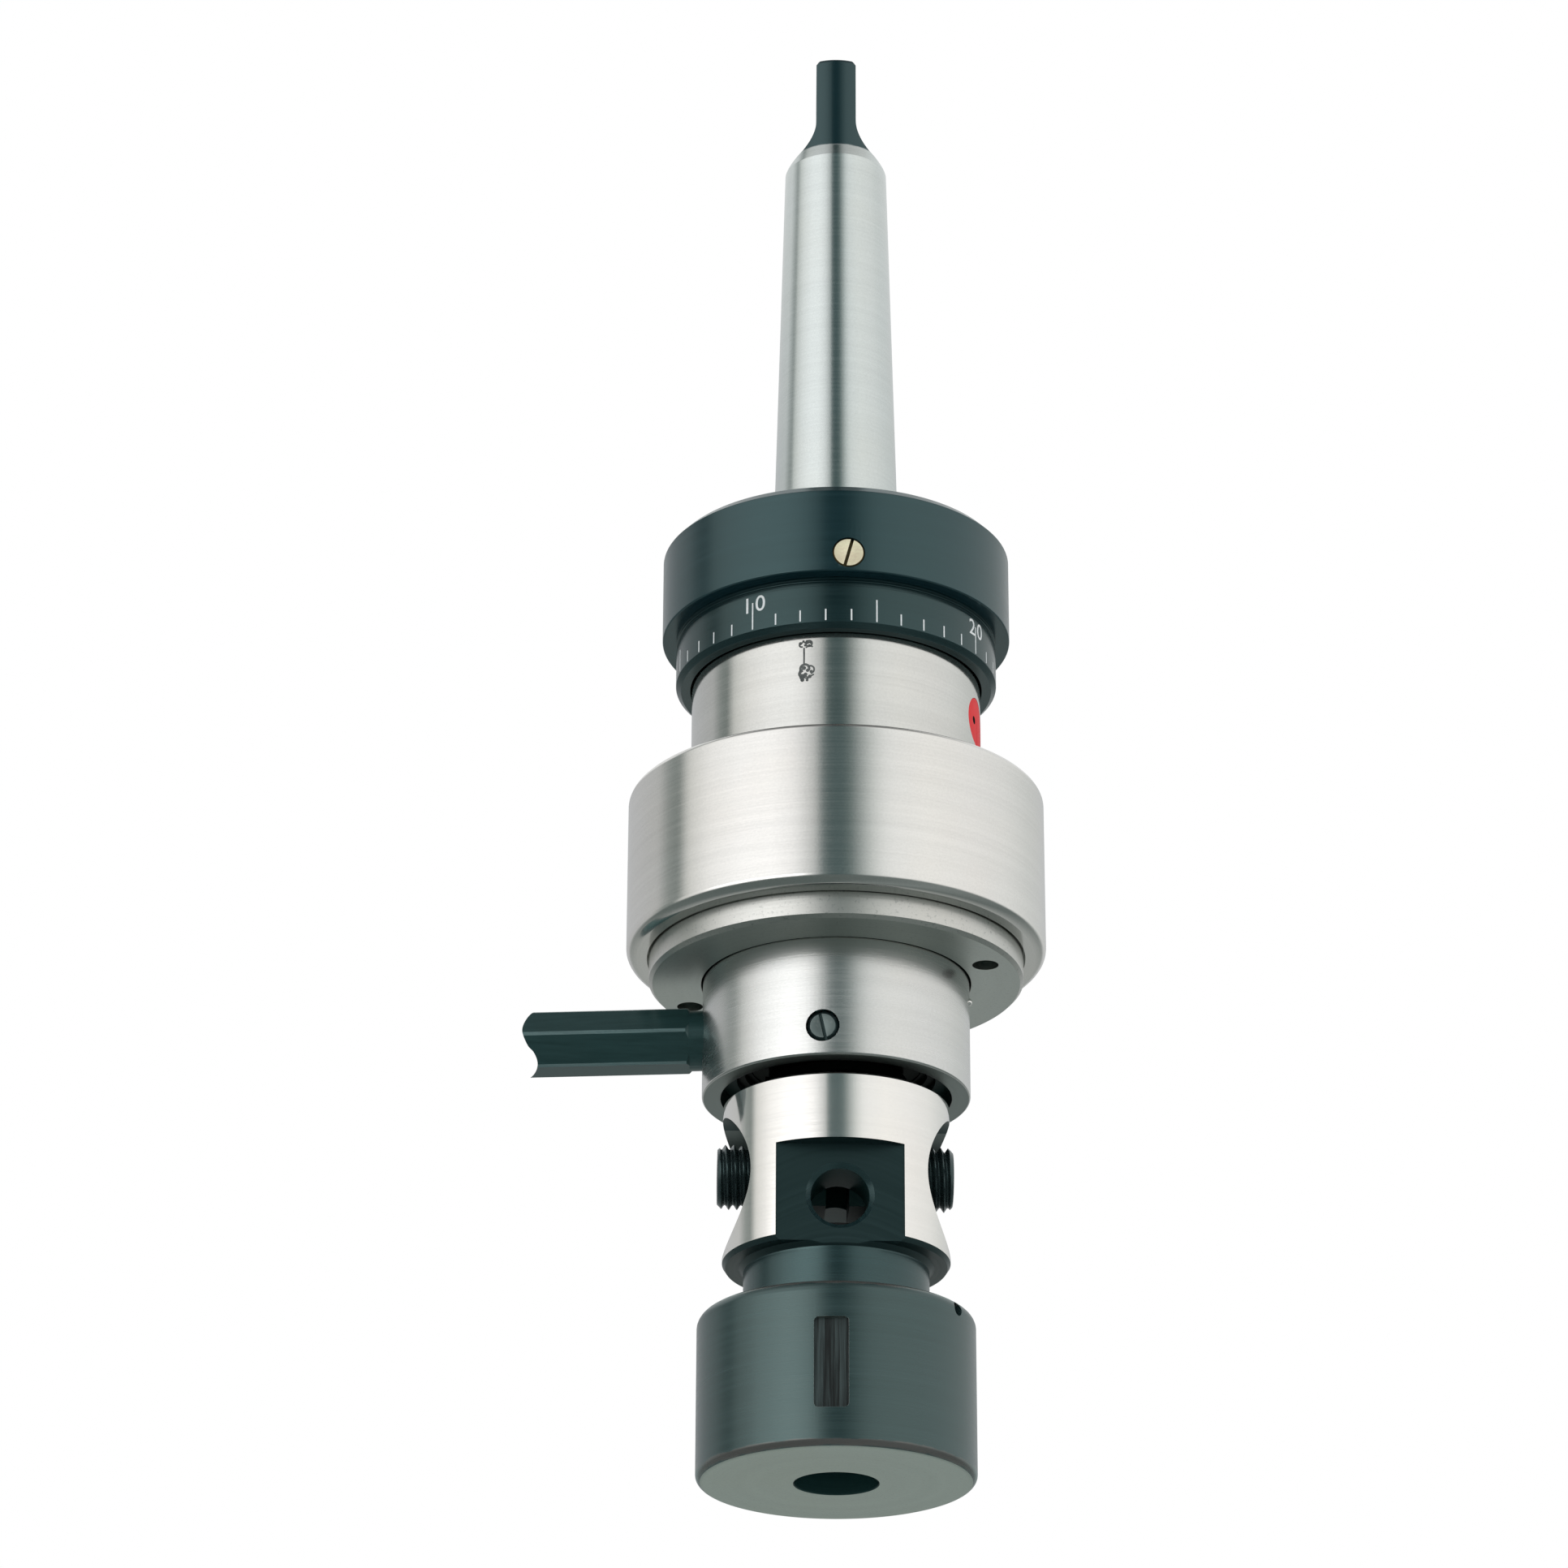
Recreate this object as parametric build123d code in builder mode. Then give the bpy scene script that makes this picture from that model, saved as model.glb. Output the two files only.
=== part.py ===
from build123d import *
import math
import os

os.makedirs("parts", exist_ok=True)

# A self-reversing tapping head with a Morse taper 3 shank, in millimetres.
# Z is the spindle axis and points to the tang, and the origin is the taper's gauge plane.
# An azimuth is an angle about Z from the front (-Y), positive towards +X.

# Clearances
running = 0.05  # radial, of pieces that turn or slide in one another
seat = 0.02  # radial, of pieces that stay where they are fitted
end_play = 0.1  # axial, between faces that turn past each other
thread_play = 0.06  # radial, between a screw's crest and its nut, both drawn as cylinders

# Morse taper 3 shank
gauge_diameter = 23.825
taper_per_mm = 1 / 19.922  # of the diameter
shank_below_gauge = 5.0
tang_end = 94.0
tang_length = 20.0
tang_thickness = 7.9
tang_diameter = 19.0
tang_run_out = 7.0  # radius that the tang's flats end in
tang_tip_chamfer = 1.4
tang_edge = 1.0  # width of the bevel at the top of each flat
shoulder_run = 2.6  # height of the cone between the taper and the tang

# Outer stack, from the gauge plane down
collar_drop = 13.9
collar_height = 18.3
scale_height = 10.2
neck_height = 23.5
drum_height = 31.8
retainer_proud = 5.0
sleeve_height = 22.7
chuck_gap = 1.9
chuck_height = 31.0
nose_height = 9.6
nut_height = 30.8

# Outer radii
arbor_radius = 12.05
collar_radius = 33.5
scale_radius = 30.8
neck_radius = 27.7
sleeve_radius = 25.0
chuck_radius = 21.0
nose_radius = 17.1
nut_radius = 25.5

# Torque collar and scale ring
collar_chamfer = 2.1
collar_edge = 0.3
collar_web = 6.5
collar_thread_radius = 27.0
collar_spigot = 3.0  # how far the collar's spigot reaches into the scale ring
spigot_radius = 29.6
scale_bore = 28.0
scale_chamfer_width = 1.0
scale_chamfer_height = 0.9
scale_groove_depth = 0.3
scale_groove_width = 0.9
scale_groove_drop = 1.0
torque_drop = 0.9  # travel of the collar from the drawn setting to the tightest one
lock_screw_radius = 2.6
lock_screw_azimuth = 3.5
lock_screw_drop = 14.5
lock_screw_tilt = -15.0
slot_width = 0.9
slot_depth = 1.2

# Slip clutch
clutch_bore = 22.5
key_count = 4
key_width = 5.0
key_reach = 24.3
plate_thickness = 5.0
spring_count = 4
spring_thickness = 1.0
spring_cone = 1.0
spring_inner = 12.9
pressure_thickness = 4.0
steel_disc_count = 4
steel_disc_thickness = 1.2
friction_disc_thickness = 1.8
spline_count = 6
spline_root = 13.0
spline_tip = 15.0
spline_width = 4.0
tube_gap = 0.6  # between the collar's web and the housing's tube at the tightest setting

# Arbor bearing, 17 x 35 x 10
arbor_bearing_bore = 8.5
arbor_bearing_outer_radius = 17.5
arbor_bearing_width = 10.0
arbor_bearing_drop = 4.1  # below the clutch seat
arbor_shoulder_radius = 10.5
arbor_tail = 2.5

# Circlips
circlip_thickness = 1.2
circlip_reach = 1.5
circlip_groove = 0.8
circlip_opening = 5.0

# Housing
neck_gap = 1.9  # between the neck's shoulder and the collar at the tightest setting
drum_top_round = 1.2
drum_bottom_round = 2.0
drum_wall = 3.7
web_below_bearing = 5.0
web_bore = 12.0
driver_radius = 16.0
driver_thickness = 3.0
dog_room_radius = 29.0
plug_azimuth = 75.0
plug_height = 14.0  # above the drum's top face
plug_radius = 4.5
plug_floor = 0.6  # metal left between the plug's seat and the clutch keyways
plug_dimple_radius = 0.7
plug_dimple_depth = 0.8

# Dog clutch: spindle dogs between the driver's dogs above and the sun gear's dogs below
dog_count = 4
dog_angle = 40.0
dog_inner = 8.2
dog_outer = 11.4
dog_height = 2.2
dog_gap = 0.4
dog_flange_radius = 11.5
dog_flange_thickness = 3.0
dog_bore = 6.0
dog_recess_radius = 11.9

# Planetary reversing gear
gear_module = 1.25
pressure_angle = 25.0
sun_teeth = 24
planet_teeth = 12
ring_teeth = sun_teeth + 2 * planet_teeth
planet_count = 3
first_planet_angle = 90.0
backlash = 0.14
addendum = 1.0
ring_addendum = 0.88
dedendum = 1.25
gear_width = 8.0
flank_steps = 4
sun_drop = 1.2  # of the sun's top face below the spindle's dog flange
ring_gear_rise = 1.0  # of the ring gear's top face above the teeth
planet_pin_radius = 2.5
planet_pin_head_radius = 3.7
planet_pin_head = 1.4
carrier_gap = 0.5
carrier_thickness = 3.5
carrier_step = 2.5  # how much smaller the carrier is than the sleeve bearing
carrier_room = 1.2  # radial, between the carrier and the ring gear's skirt

# Sleeve bearing, 50 x 65 x 7
sleeve_bearing_section = 7.5  # radial, from the bearing's bore to its outside
sleeve_bearing_width = 7.0

# Sun bearing, 20 x 32 x 7
sun_hub_radius = 10.0
sun_bearing_outer_radius = 16.0
sun_bearing_width = 7.0
sun_hub_tail = 1.0
sun_bore = 8.0
sleeve_web = 3.0
sleeve_web_bore = 13.0

# Spindle bearings, 20 x 37 x 9, a pair with a spacer between them
bush_radius = 10.0
spindle_bearing_outer_radius = 18.5
spindle_bearing_width = 9.0
spindle_bearing_spacing = 3.0
spacer_thickness = 1.6
bush_flange_radius = 12.5
bush_flange = 1.5
bush_rise = 1.0
bush_key_count = 4
bush_key_width = 3.0
bush_key_depth = 1.2

# Sleeve, retainer and torque arm
retainer_wall = 3.3  # of the retainer ring, round the sleeve bearing
retainer_step = 0.9  # between the drum's bore and the visible part of the retainer ring
retainer_chamfer = 0.7
retainer_bore = 25.3
retainer_thread_drop = 1.6  # from the drum's bottom face up to the retainer's shoulder
spanner_hole_radius = 2.45
spanner_hole_circle = 29.8
spanner_hole_azimuth = 67.9
spanner_hole_depth = 3.0
sleeve_bore = 21.7
sleeve_bore_depth = 3.8
sleeve_chamfer = 0.8
arm_height = 12.4  # of the arm's axis above the sleeve's bottom face
arm_azimuth = -94.6
arm_across_flats = 11.0
arm_neck_radius = 5.65
arm_neck_end = 27.0
arm_length = 58.6
arm_chamfer = 1.0
arm_socket_depth = 4.6
arm_end_crest = 3.6
arm_end_hollow = 3.4
set_screw_radius = 2.95
set_screw_azimuth = -6.3
set_screw_height = 5.6
set_screw_depth = 2.9
set_screw_tilt = 10.0

# Spindle and chuck
spindle_radius = 7.5
spindle_pilot_rise = 1.5  # above the driver's lower face
float_up = 2.4
float_down = 2.4
spring_recess_radius = 15.5
spring_recess_inner = 9.5
spring_recess_depth = 3.0
return_spring_radius = 12.4
return_spring_wire = 1.6
return_spring_turns = 3.5
chuck_azimuth = 1.8
flat_offset = 17.2
flat_width = 23.4
flat_drop = 12.6  # from the chuck's top face to the ledge over each flat
window_radius = 5.35
window_height = 8.6  # above the chuck's bottom face
window_chamfer = 0.5
spot_face_radius = 13.4
spot_face_drop = 16.1
spot_face_floor = 15.8
chuck_chamfer = 0.4
jaw_screw_radius = 6.0
jaw_screw_drop = 13.5
jaw_screw_end = 22.0
jaw_screw_chamfer = 0.9
jaw_socket_flats = 6.0
jaw_socket_depth = 5.0

# Jaws that hold the tap's square
jaw_gap = 4.3
jaw_thickness = 4.8
jaw_width = 12.1
jaw_top_drop = 6.2
jaw_bottom_height = 10.2  # above the chuck's bottom face
jaw_wall = 1.85
button_thickness = 1.3
button_radius = 3.3
button_neck_radius = 1.9
jaw_travel_out = 2.4

# Collet and nut
collet_hole = 3.1
collet_top_height = 6.2  # above the chuck's bottom face
collet_top_radius = 8.6
collet_large_radius = 13.6
collet_large_height = 10.0  # above the nut's bottom face
collet_front_radius = 8.6
collet_front_height = 4.6  # above the nut's bottom face
blade_count = 6
blade_thickness = 1.2
blade_end = 1.6  # rubber left over each blade's upper end
nose_end_height = 11.5  # of the spindle nose's lower face above the nut's bottom face
nose_chamfer = 0.6
nut_round = 1.5
nut_opening = 7.65
nut_opening_chamfer = 0.4
nut_slot_count = 3
nut_slot_azimuth = -2.6
nut_slot_width = 6.2
nut_slot_length = 16.6
nut_slot_drop = 7.2
nut_slot_depth = 0.9
nut_hole_radius = 1.3
nut_hole_azimuth = 59.0
nut_hole_drop = 1.9
nut_hole_depth = 4.0

# Radii that follow from the sleeve bearing
sleeve_bearing_outer_radius = sleeve_radius + sleeve_bearing_section
drum_bore = sleeve_bearing_outer_radius + retainer_wall
drum_radius = drum_bore + drum_wall
retainer_radius = drum_bore - retainer_step
carrier_radius = sleeve_bearing_outer_radius - carrier_step
skirt_bore = carrier_radius + carrier_room

# Heights of the outer stack
shank_bottom = -shank_below_gauge
collar_top = -collar_drop
collar_bottom = collar_top - collar_height
scale_bottom = collar_bottom - scale_height
drum_top = scale_bottom - neck_height
drum_bottom = drum_top - drum_height
retainer_bottom = drum_bottom - retainer_proud
sleeve_bottom = retainer_bottom - sleeve_height
chuck_top = sleeve_bottom - chuck_gap
chuck_bottom = chuck_top - chuck_height
nut_top = chuck_bottom - nose_height
nut_bottom = nut_top - nut_height

# Heights inside the clutch
plate_top = collar_top - collar_web - running
plate_bottom = plate_top - plate_thickness
springs_top = plate_bottom - seat
spring_step = spring_thickness + spring_cone + seat
pressure_top = springs_top - spring_count * spring_step
pressure_bottom = pressure_top - pressure_thickness
tube_top = collar_top - collar_web - torque_drop - tube_gap
disc_step = steel_disc_thickness + friction_disc_thickness + 2 * running
first_disc_top = pressure_bottom - seat
clutch_seat = first_disc_top - (steel_disc_count - 1) * disc_step - steel_disc_thickness - seat
arbor_bearing_top = clutch_seat - arbor_bearing_drop
arbor_bearing_bottom = arbor_bearing_top - arbor_bearing_width
arbor_bottom = arbor_bearing_bottom - arbor_tail
web_bottom = arbor_bearing_bottom - web_below_bearing

# Heights inside the drum
driver_bottom = web_bottom - driver_thickness
driver_dog_tip = driver_bottom - dog_height
upper_dog_tip = driver_dog_tip - dog_gap
flange_top = upper_dog_tip - dog_height
flange_bottom = flange_top - dog_flange_thickness
lower_dog_tip = flange_bottom - dog_height
sun_dog_tip = lower_dog_tip - dog_gap
sun_floor = sun_dog_tip - dog_height
gear_top = flange_bottom - sun_drop
gear_bottom = gear_top - gear_width
ring_gear_top = gear_top + ring_gear_rise
carrier_top = gear_bottom - carrier_gap
carrier_bottom = carrier_top - carrier_thickness
sleeve_bearing_bottom = carrier_bottom - sleeve_bearing_width
retainer_shoulder = drum_bottom + retainer_thread_drop
sun_bearing_top = carrier_top - carrier_gap
sun_bearing_bottom = sun_bearing_top - sun_bearing_width
spindle_bearing_top = sun_bearing_bottom - sleeve_web
spindle_bearing_step = spindle_bearing_width + spindle_bearing_spacing
spindle_bearing_bottom = spindle_bearing_top - spindle_bearing_step - spindle_bearing_width
bush_top = spindle_bearing_top + bush_rise
bush_bottom = spindle_bearing_bottom - bush_flange

# Heights inside the chuck
spindle_top = driver_bottom + spindle_pilot_rise
jaw_screw_z = chuck_top - jaw_screw_drop
jaw_top = chuck_top - jaw_top_drop
jaw_bottom = chuck_bottom + jaw_bottom_height
chamber_top = jaw_top + running
window_z = chuck_bottom + window_height
collet_top = chuck_bottom + collet_top_height
collet_large_z = nut_bottom + collet_large_height
collet_front = nut_bottom + collet_front_height
nose_bottom = nut_bottom + nose_end_height
chamber_half = jaw_gap / 2 + jaw_thickness + jaw_travel_out + end_play


# Shapes that repeat


def turned(*outline, mode=Mode.ADD):
    """Adds the ring that a closed outline of (radius, height) points sweeps round Z."""
    with BuildSketch(Plane.XZ) as section:
        with BuildLine():
            Polyline(*outline, close=True)
        make_face()
    revolve(section.sketch, axis=Axis.Z, mode=mode)


def ring(outer, inner, top, bottom, mode=Mode.ADD):
    """Adds a plain ring, or a disc where inner is 0."""
    turned((inner, bottom), (outer, bottom), (outer, top), (inner, top), mode=mode)


def rim(part, radius, height):
    """The circular edge of a part that has this radius and height."""
    circles = part.edges().filter_by(GeomType.CIRCLE)
    near = 0.001
    return circles.filter_by(
        lambda e: abs(e.radius - radius) < near and abs(e.arc_center.Z - height) < near
    )


def radial_plane(azimuth, radius, height):
    """A plane that faces outwards: its x runs round the part to the right, its y runs up."""
    a = math.radians(azimuth)
    return Plane(
        origin=(radius * math.sin(a), -radius * math.cos(a), height),
        x_dir=(math.cos(a), math.sin(a), 0),
        z_dir=(math.sin(a), -math.cos(a), 0),
    )


def keys(width, reach, count, top, bottom, mode=Mode.ADD):
    """Adds evenly spaced radial bars from the axis out to reach."""
    with BuildSketch(Plane.XY.offset(bottom)) as bars:
        with PolarLocations(reach / 2, count):
            Rectangle(reach, width)
    extrude(bars.sketch, amount=top - bottom, mode=mode)


def dogs(bottom, turn):
    """Adds a ring of clutch dogs on the level of their lower faces."""
    with BuildSketch(Plane.XY.offset(bottom)) as tooth:
        with BuildLine():
            outer = CenterArc((0, 0), dog_outer, turn - dog_angle / 2, dog_angle)
            inner = CenterArc((0, 0), dog_inner, turn - dog_angle / 2, dog_angle)
            Line(outer @ 0, inner @ 0)
            Line(outer @ 1, inner @ 1)
        make_face()
    for n in range(dog_count):
        extrude(tooth.sketch.rotate(Axis.Z, n * 360 / dog_count), amount=dog_height)


def circlip(inner, outer, top, name):
    """A retaining ring with its opening at the back."""
    with BuildPart() as clip:
        with BuildSketch(Plane.XY.offset(top - circlip_thickness)):
            Circle(outer)
            Circle(inner, mode=Mode.SUBTRACT)
            with Locations((0, (outer + inner) / 2)):
                Rectangle(circlip_opening, 2 * (outer - inner), mode=Mode.SUBTRACT)
        extrude(amount=circlip_thickness)
    write(clip, name)


def write(piece, name):
    piece.part.label = name
    export_step(piece.part, f"parts/{name}.step")


def bearing(bore, outer, width, tops, name):
    """A shielded ball bearing, or several alike, as its outer and inner rings."""
    wall = 0.3 * (outer - bore)
    shield = 0.5
    shield_inset = 0.3
    with BuildPart() as outer_rings:
        for top in tops:
            ring(outer - seat, outer - wall, top, top - width)
            for low in (top - shield_inset - shield, top - width + shield_inset):
                ring(outer - wall, bore + wall + running, low + shield, low)
    write(outer_rings, f"{name}_outer")
    with BuildPart() as inner_rings:
        for top in tops:
            ring(bore + wall, bore + seat, top, top - width)
    write(inner_rings, f"{name}_inner")


def involute(radius, base):
    """The involute function of a point at this radius."""
    roll = math.sqrt(max(0.0, (radius / base) ** 2 - 1))
    return roll - math.atan(roll)


def gear_outline(teeth, tip, root, thinning, first):
    """A closed spur gear outline with involute flanks, one tooth centred on the first angle.

    thinning narrows each tooth along the pitch circle. A negative one, with tip and root
    measured on the tooth spaces, gives the hollow of a ring gear."""
    pitch = gear_module * teeth / 2
    base = pitch * math.cos(math.radians(pressure_angle))
    half = math.pi / (2 * teeth) - thinning / (2 * pitch) + involute(pitch, base)
    start = max(base, root)
    radii = [start + (tip - start) * n / flank_steps for n in range(flank_steps + 1)]
    if root < start:
        radii.insert(0, root)
    flank = [(r, half - involute(max(r, base), base)) for r in radii]
    tooth = [(r, -a) for r, a in flank] + [(r, a) for r, a in reversed(flank)]
    points = []
    for n in range(teeth):
        middle = math.radians(first) + 2 * math.pi * n / teeth
        points += [(r * math.cos(middle + a), r * math.sin(middle + a)) for r, a in tooth]
    return points


def gear(outline, top, bottom, mode=Mode.ADD):
    with BuildSketch(Plane.XY.offset(bottom)) as section:
        with BuildLine():
            Polyline(*outline, close=True)
        make_face()
    extrude(section.sketch, amount=top - bottom, mode=mode)


def screw_slot(plane, radius, tilt):
    """Cuts a screwdriver slot into a screw whose outer face lies on the plane."""
    with BuildSketch(plane.offset(-slot_depth)) as groove:
        Rectangle(slot_width, 3 * radius, rotation=tilt)
    extrude(groove.sketch, amount=2 * slot_depth, mode=Mode.SUBTRACT)


# Arbor: shank, clutch splines and bearing journal
taper_top = tang_end - tang_length - shoulder_run
taper_top_radius = gauge_diameter / 2 - taper_top * taper_per_mm / 2
shank_bottom_radius = gauge_diameter / 2 - shank_bottom * taper_per_mm / 2
spline_top = pressure_bottom + end_play
with BuildPart() as arbor:
    tang_root = tang_end - tang_length
    turned(
        (0, arbor_bottom),
        (arbor_bearing_bore, arbor_bottom),
        (arbor_bearing_bore, arbor_bearing_top),
        (arbor_shoulder_radius, arbor_bearing_top),
        (arbor_shoulder_radius, clutch_seat),
        (spline_root, clutch_seat),
        (spline_root, spline_top),
        (arbor_radius, spline_top),
        (arbor_radius, shank_bottom),
        (shank_bottom_radius, shank_bottom),
        (taper_top_radius, taper_top),
        (tang_diameter / 2, tang_root),
        (tang_diameter / 2, tang_end),
        (0, tang_end),
    )
    fillet(rim(arbor, taper_top_radius, taper_top), shoulder_run / 2)
    chamfer(rim(arbor, tang_diameter / 2, tang_end), tang_tip_chamfer)
    keys(spline_width, spline_tip, spline_count, spline_top, clutch_seat)
    with BuildSketch(Plane.XZ) as tang_sides:
        for side in (-1, 1):
            flat = side * tang_thickness / 2
            bend = side * (tang_thickness / 2 + tang_run_out)
            outside = side * tang_diameter
            bevel_low = (flat, tang_end - tang_tip_chamfer)
            bevel_high = (flat - 2 * side * tang_edge, tang_end + tang_tip_chamfer)
            with BuildLine():
                Line(bevel_high, bevel_low)
                Line(bevel_low, (flat, tang_root + tang_run_out))
                ThreePointArc(
                    (flat, tang_root + tang_run_out),
                    (
                        bend - side * tang_run_out * math.cos(math.pi / 4),
                        tang_root + tang_run_out * (1 - math.sin(math.pi / 4)),
                    ),
                    (bend, tang_root),
                )
                Line((bend, tang_root), (outside, tang_root))
                Line((outside, tang_root), (outside, tang_end + tang_tip_chamfer))
                Line((outside, tang_end + tang_tip_chamfer), bevel_high)
            make_face()
    extrude(tang_sides.sketch, amount=tang_diameter, both=True, mode=Mode.SUBTRACT)
    ring(
        arbor_bearing_bore + 1,
        arbor_bearing_bore - circlip_groove,
        arbor_bearing_bottom,
        arbor_bearing_bottom - circlip_thickness - seat,
        mode=Mode.SUBTRACT,
    )
    chamfer(rim(arbor, arbor_bearing_bore, arbor_bottom), 0.5)
write(arbor, "arbor")

circlip(
    arbor_bearing_bore - circlip_groove + seat,
    arbor_bearing_bore + circlip_reach,
    arbor_bearing_bottom,
    "arbor_circlip",
)
bearing(
    arbor_bearing_bore,
    arbor_bearing_outer_radius,
    arbor_bearing_width,
    [arbor_bearing_top],
    "arbor_bearing",
)

# Friction discs turn with the arbor, steel discs with the housing
disc_outer = clutch_bore - seat - running
with BuildPart() as friction_discs:
    for n in range(steel_disc_count - 1):
        top = first_disc_top - steel_disc_thickness - running - n * disc_step
        ring(disc_outer - 1, spline_root + running, top, top - friction_disc_thickness)
        keys(
            spline_width + 2 * running,
            spline_tip + running,
            spline_count,
            top,
            top - friction_disc_thickness,
            mode=Mode.SUBTRACT,
        )
write(friction_discs, "friction_discs")

with BuildPart() as steel_discs:
    for n in range(steel_disc_count):
        top = first_disc_top - n * disc_step
        keys(key_width, key_reach - running, key_count, top, top - steel_disc_thickness)
        ring(disc_outer, 0, top, top - steel_disc_thickness)
        ring(
            spline_tip + 0.5, 0, top, top - steel_disc_thickness, mode=Mode.SUBTRACT
        )
write(steel_discs, "steel_discs")

with BuildPart() as pressure_ring:
    keys(key_width, key_reach - running, key_count, pressure_top, pressure_bottom)
    ring(disc_outer, 0, pressure_top, pressure_bottom)
    ring(spline_tip + 0.5, 0, pressure_top, pressure_bottom, mode=Mode.SUBTRACT)
write(pressure_ring, "pressure_ring")

with BuildPart() as disc_springs:
    for n in range(spring_count):
        low = springs_top - (n + 1) * spring_step + seat
        rise_in, rise_out = (spring_cone, 0) if n % 2 else (0, spring_cone)
        turned(
            (spring_inner, low + rise_in),
            (disc_outer, low + rise_out),
            (disc_outer, low + rise_out + spring_thickness),
            (spring_inner, low + rise_in + spring_thickness),
        )
write(disc_springs, "disc_springs")

with BuildPart() as spring_plate:
    keys(key_width, key_reach - running, key_count, plate_top, plate_bottom)
    ring(disc_outer, 0, plate_top, plate_bottom)
    ring(spring_inner, 0, plate_top, plate_bottom, mode=Mode.SUBTRACT)
write(spring_plate, "spring_plate")

# Torque collar with its scale ring and lock screw
collar_bore = collar_thread_radius + thread_play
lock_screw_z = collar_top - lock_screw_drop
with BuildPart() as torque_collar:
    turned(
        (spring_inner, collar_top),
        (spring_inner, collar_top - collar_web),
        (collar_bore, collar_top - collar_web),
        (collar_bore, collar_bottom - collar_spigot),
        (spigot_radius, collar_bottom - collar_spigot),
        (spigot_radius, collar_bottom),
        (collar_radius, collar_bottom),
        (collar_radius, collar_top),
    )
    chamfer(rim(torque_collar, collar_radius, collar_top), collar_chamfer)
    chamfer(rim(torque_collar, collar_radius, collar_bottom), collar_edge)
    with BuildSketch(radial_plane(lock_screw_azimuth, 0, lock_screw_z)) as bore:
        Circle(lock_screw_radius + seat)
    extrude(bore.sketch, amount=collar_radius + 1, mode=Mode.SUBTRACT)
write(torque_collar, "torque_collar")

with BuildPart() as collar_lock_screw:
    face = radial_plane(lock_screw_azimuth, collar_radius - 0.1, lock_screw_z)
    shank = collar_radius - 0.1 - collar_thread_radius - end_play
    with BuildSketch(face.offset(-shank)):
        Circle(lock_screw_radius)
    extrude(amount=shank)
    chamfer(collar_lock_screw.edges().filter_by(GeomType.CIRCLE), 0.3)
    screw_slot(face, lock_screw_radius, lock_screw_tilt)
write(collar_lock_screw, "collar_lock_screw")

with BuildPart() as scale_ring:
    turned(
        (scale_bore, scale_bottom),
        (scale_radius - scale_chamfer_width, scale_bottom),
        (scale_radius, scale_bottom + scale_chamfer_height),
        (scale_radius, collar_bottom),
        (spigot_radius + seat, collar_bottom),
        (spigot_radius + seat, collar_bottom - collar_spigot),
        (scale_bore, collar_bottom - collar_spigot),
    )
    groove_top = collar_bottom - scale_groove_drop
    ring(
        scale_radius + 1,
        scale_radius - scale_groove_depth,
        groove_top,
        groove_top - scale_groove_width,
        mode=Mode.SUBTRACT,
    )
write(scale_ring, "scale_ring")

# Housing: threaded tube, neck with its oil plug, and drum
neck_top = collar_bottom - collar_spigot - torque_drop - neck_gap
plug_z = drum_top + plug_height
bearing_clip_top = arbor_bearing_top + circlip_thickness + seat
plug_seat_radius = key_reach + plug_floor
with BuildPart() as housing:
    turned(
        (clutch_bore, tube_top),
        (clutch_bore, clutch_seat),
        (arbor_bearing_outer_radius, clutch_seat),
        (arbor_bearing_outer_radius, arbor_bearing_bottom),
        (web_bore, arbor_bearing_bottom),
        (web_bore, web_bottom),
        (driver_radius + seat, web_bottom),
        (driver_radius + seat, driver_bottom),
        (dog_room_radius, driver_bottom),
        (dog_room_radius, ring_gear_top),
        (drum_bore, ring_gear_top),
        (drum_bore, drum_bottom),
        (drum_radius, drum_bottom),
        (drum_radius, drum_top),
        (neck_radius, drum_top),
        (neck_radius, neck_top),
        (collar_thread_radius, neck_top),
        (collar_thread_radius, tube_top),
    )
    fillet(rim(housing, drum_radius, drum_top), drum_top_round)
    fillet(rim(housing, drum_radius, drum_bottom), drum_bottom_round)
    keys(
        key_width + 2 * running, key_reach, key_count, tube_top, clutch_seat, mode=Mode.SUBTRACT
    )
    ring(
        arbor_bearing_outer_radius + circlip_groove,
        arbor_bearing_outer_radius - 1,
        bearing_clip_top,
        arbor_bearing_top,
        mode=Mode.SUBTRACT,
    )
    with BuildSketch(radial_plane(plug_azimuth, plug_seat_radius, plug_z)) as bore:
        Circle(plug_radius + seat)
    extrude(bore.sketch, amount=neck_radius, mode=Mode.SUBTRACT)
write(housing, "housing")

with BuildPart() as oil_plug:
    with BuildSketch(radial_plane(plug_azimuth, plug_seat_radius, plug_z)):
        Circle(plug_radius)
    extrude(amount=neck_radius)
    ring(neck_radius, 0, plug_z + plug_radius, plug_z - plug_radius, mode=Mode.INTERSECT)
    dimple = radial_plane(plug_azimuth, neck_radius - plug_dimple_depth, plug_z)
    with BuildSketch(dimple) as dot:
        Circle(plug_dimple_radius)
    extrude(dot.sketch, amount=2 * plug_dimple_depth, mode=Mode.SUBTRACT)
write(oil_plug, "oil_plug")

circlip(
    arbor_bearing_outer_radius - circlip_reach,
    arbor_bearing_outer_radius + circlip_groove - seat,
    bearing_clip_top - seat / 2,
    "bearing_circlip",
)

# Reversing gear and dog clutch
driver_turn = 360 / dog_count / 2
with BuildPart() as forward_driver:
    ring(driver_radius, dog_bore + running, web_bottom, driver_bottom)
    dogs(driver_dog_tip, driver_turn)
write(forward_driver, "forward_driver")

with BuildPart() as shift_dog:
    ring(dog_flange_radius, dog_bore + seat, flange_top, flange_bottom)
    dogs(flange_top, 0)
    dogs(lower_dog_tip, 0)
write(shift_dog, "shift_dog")

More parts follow.
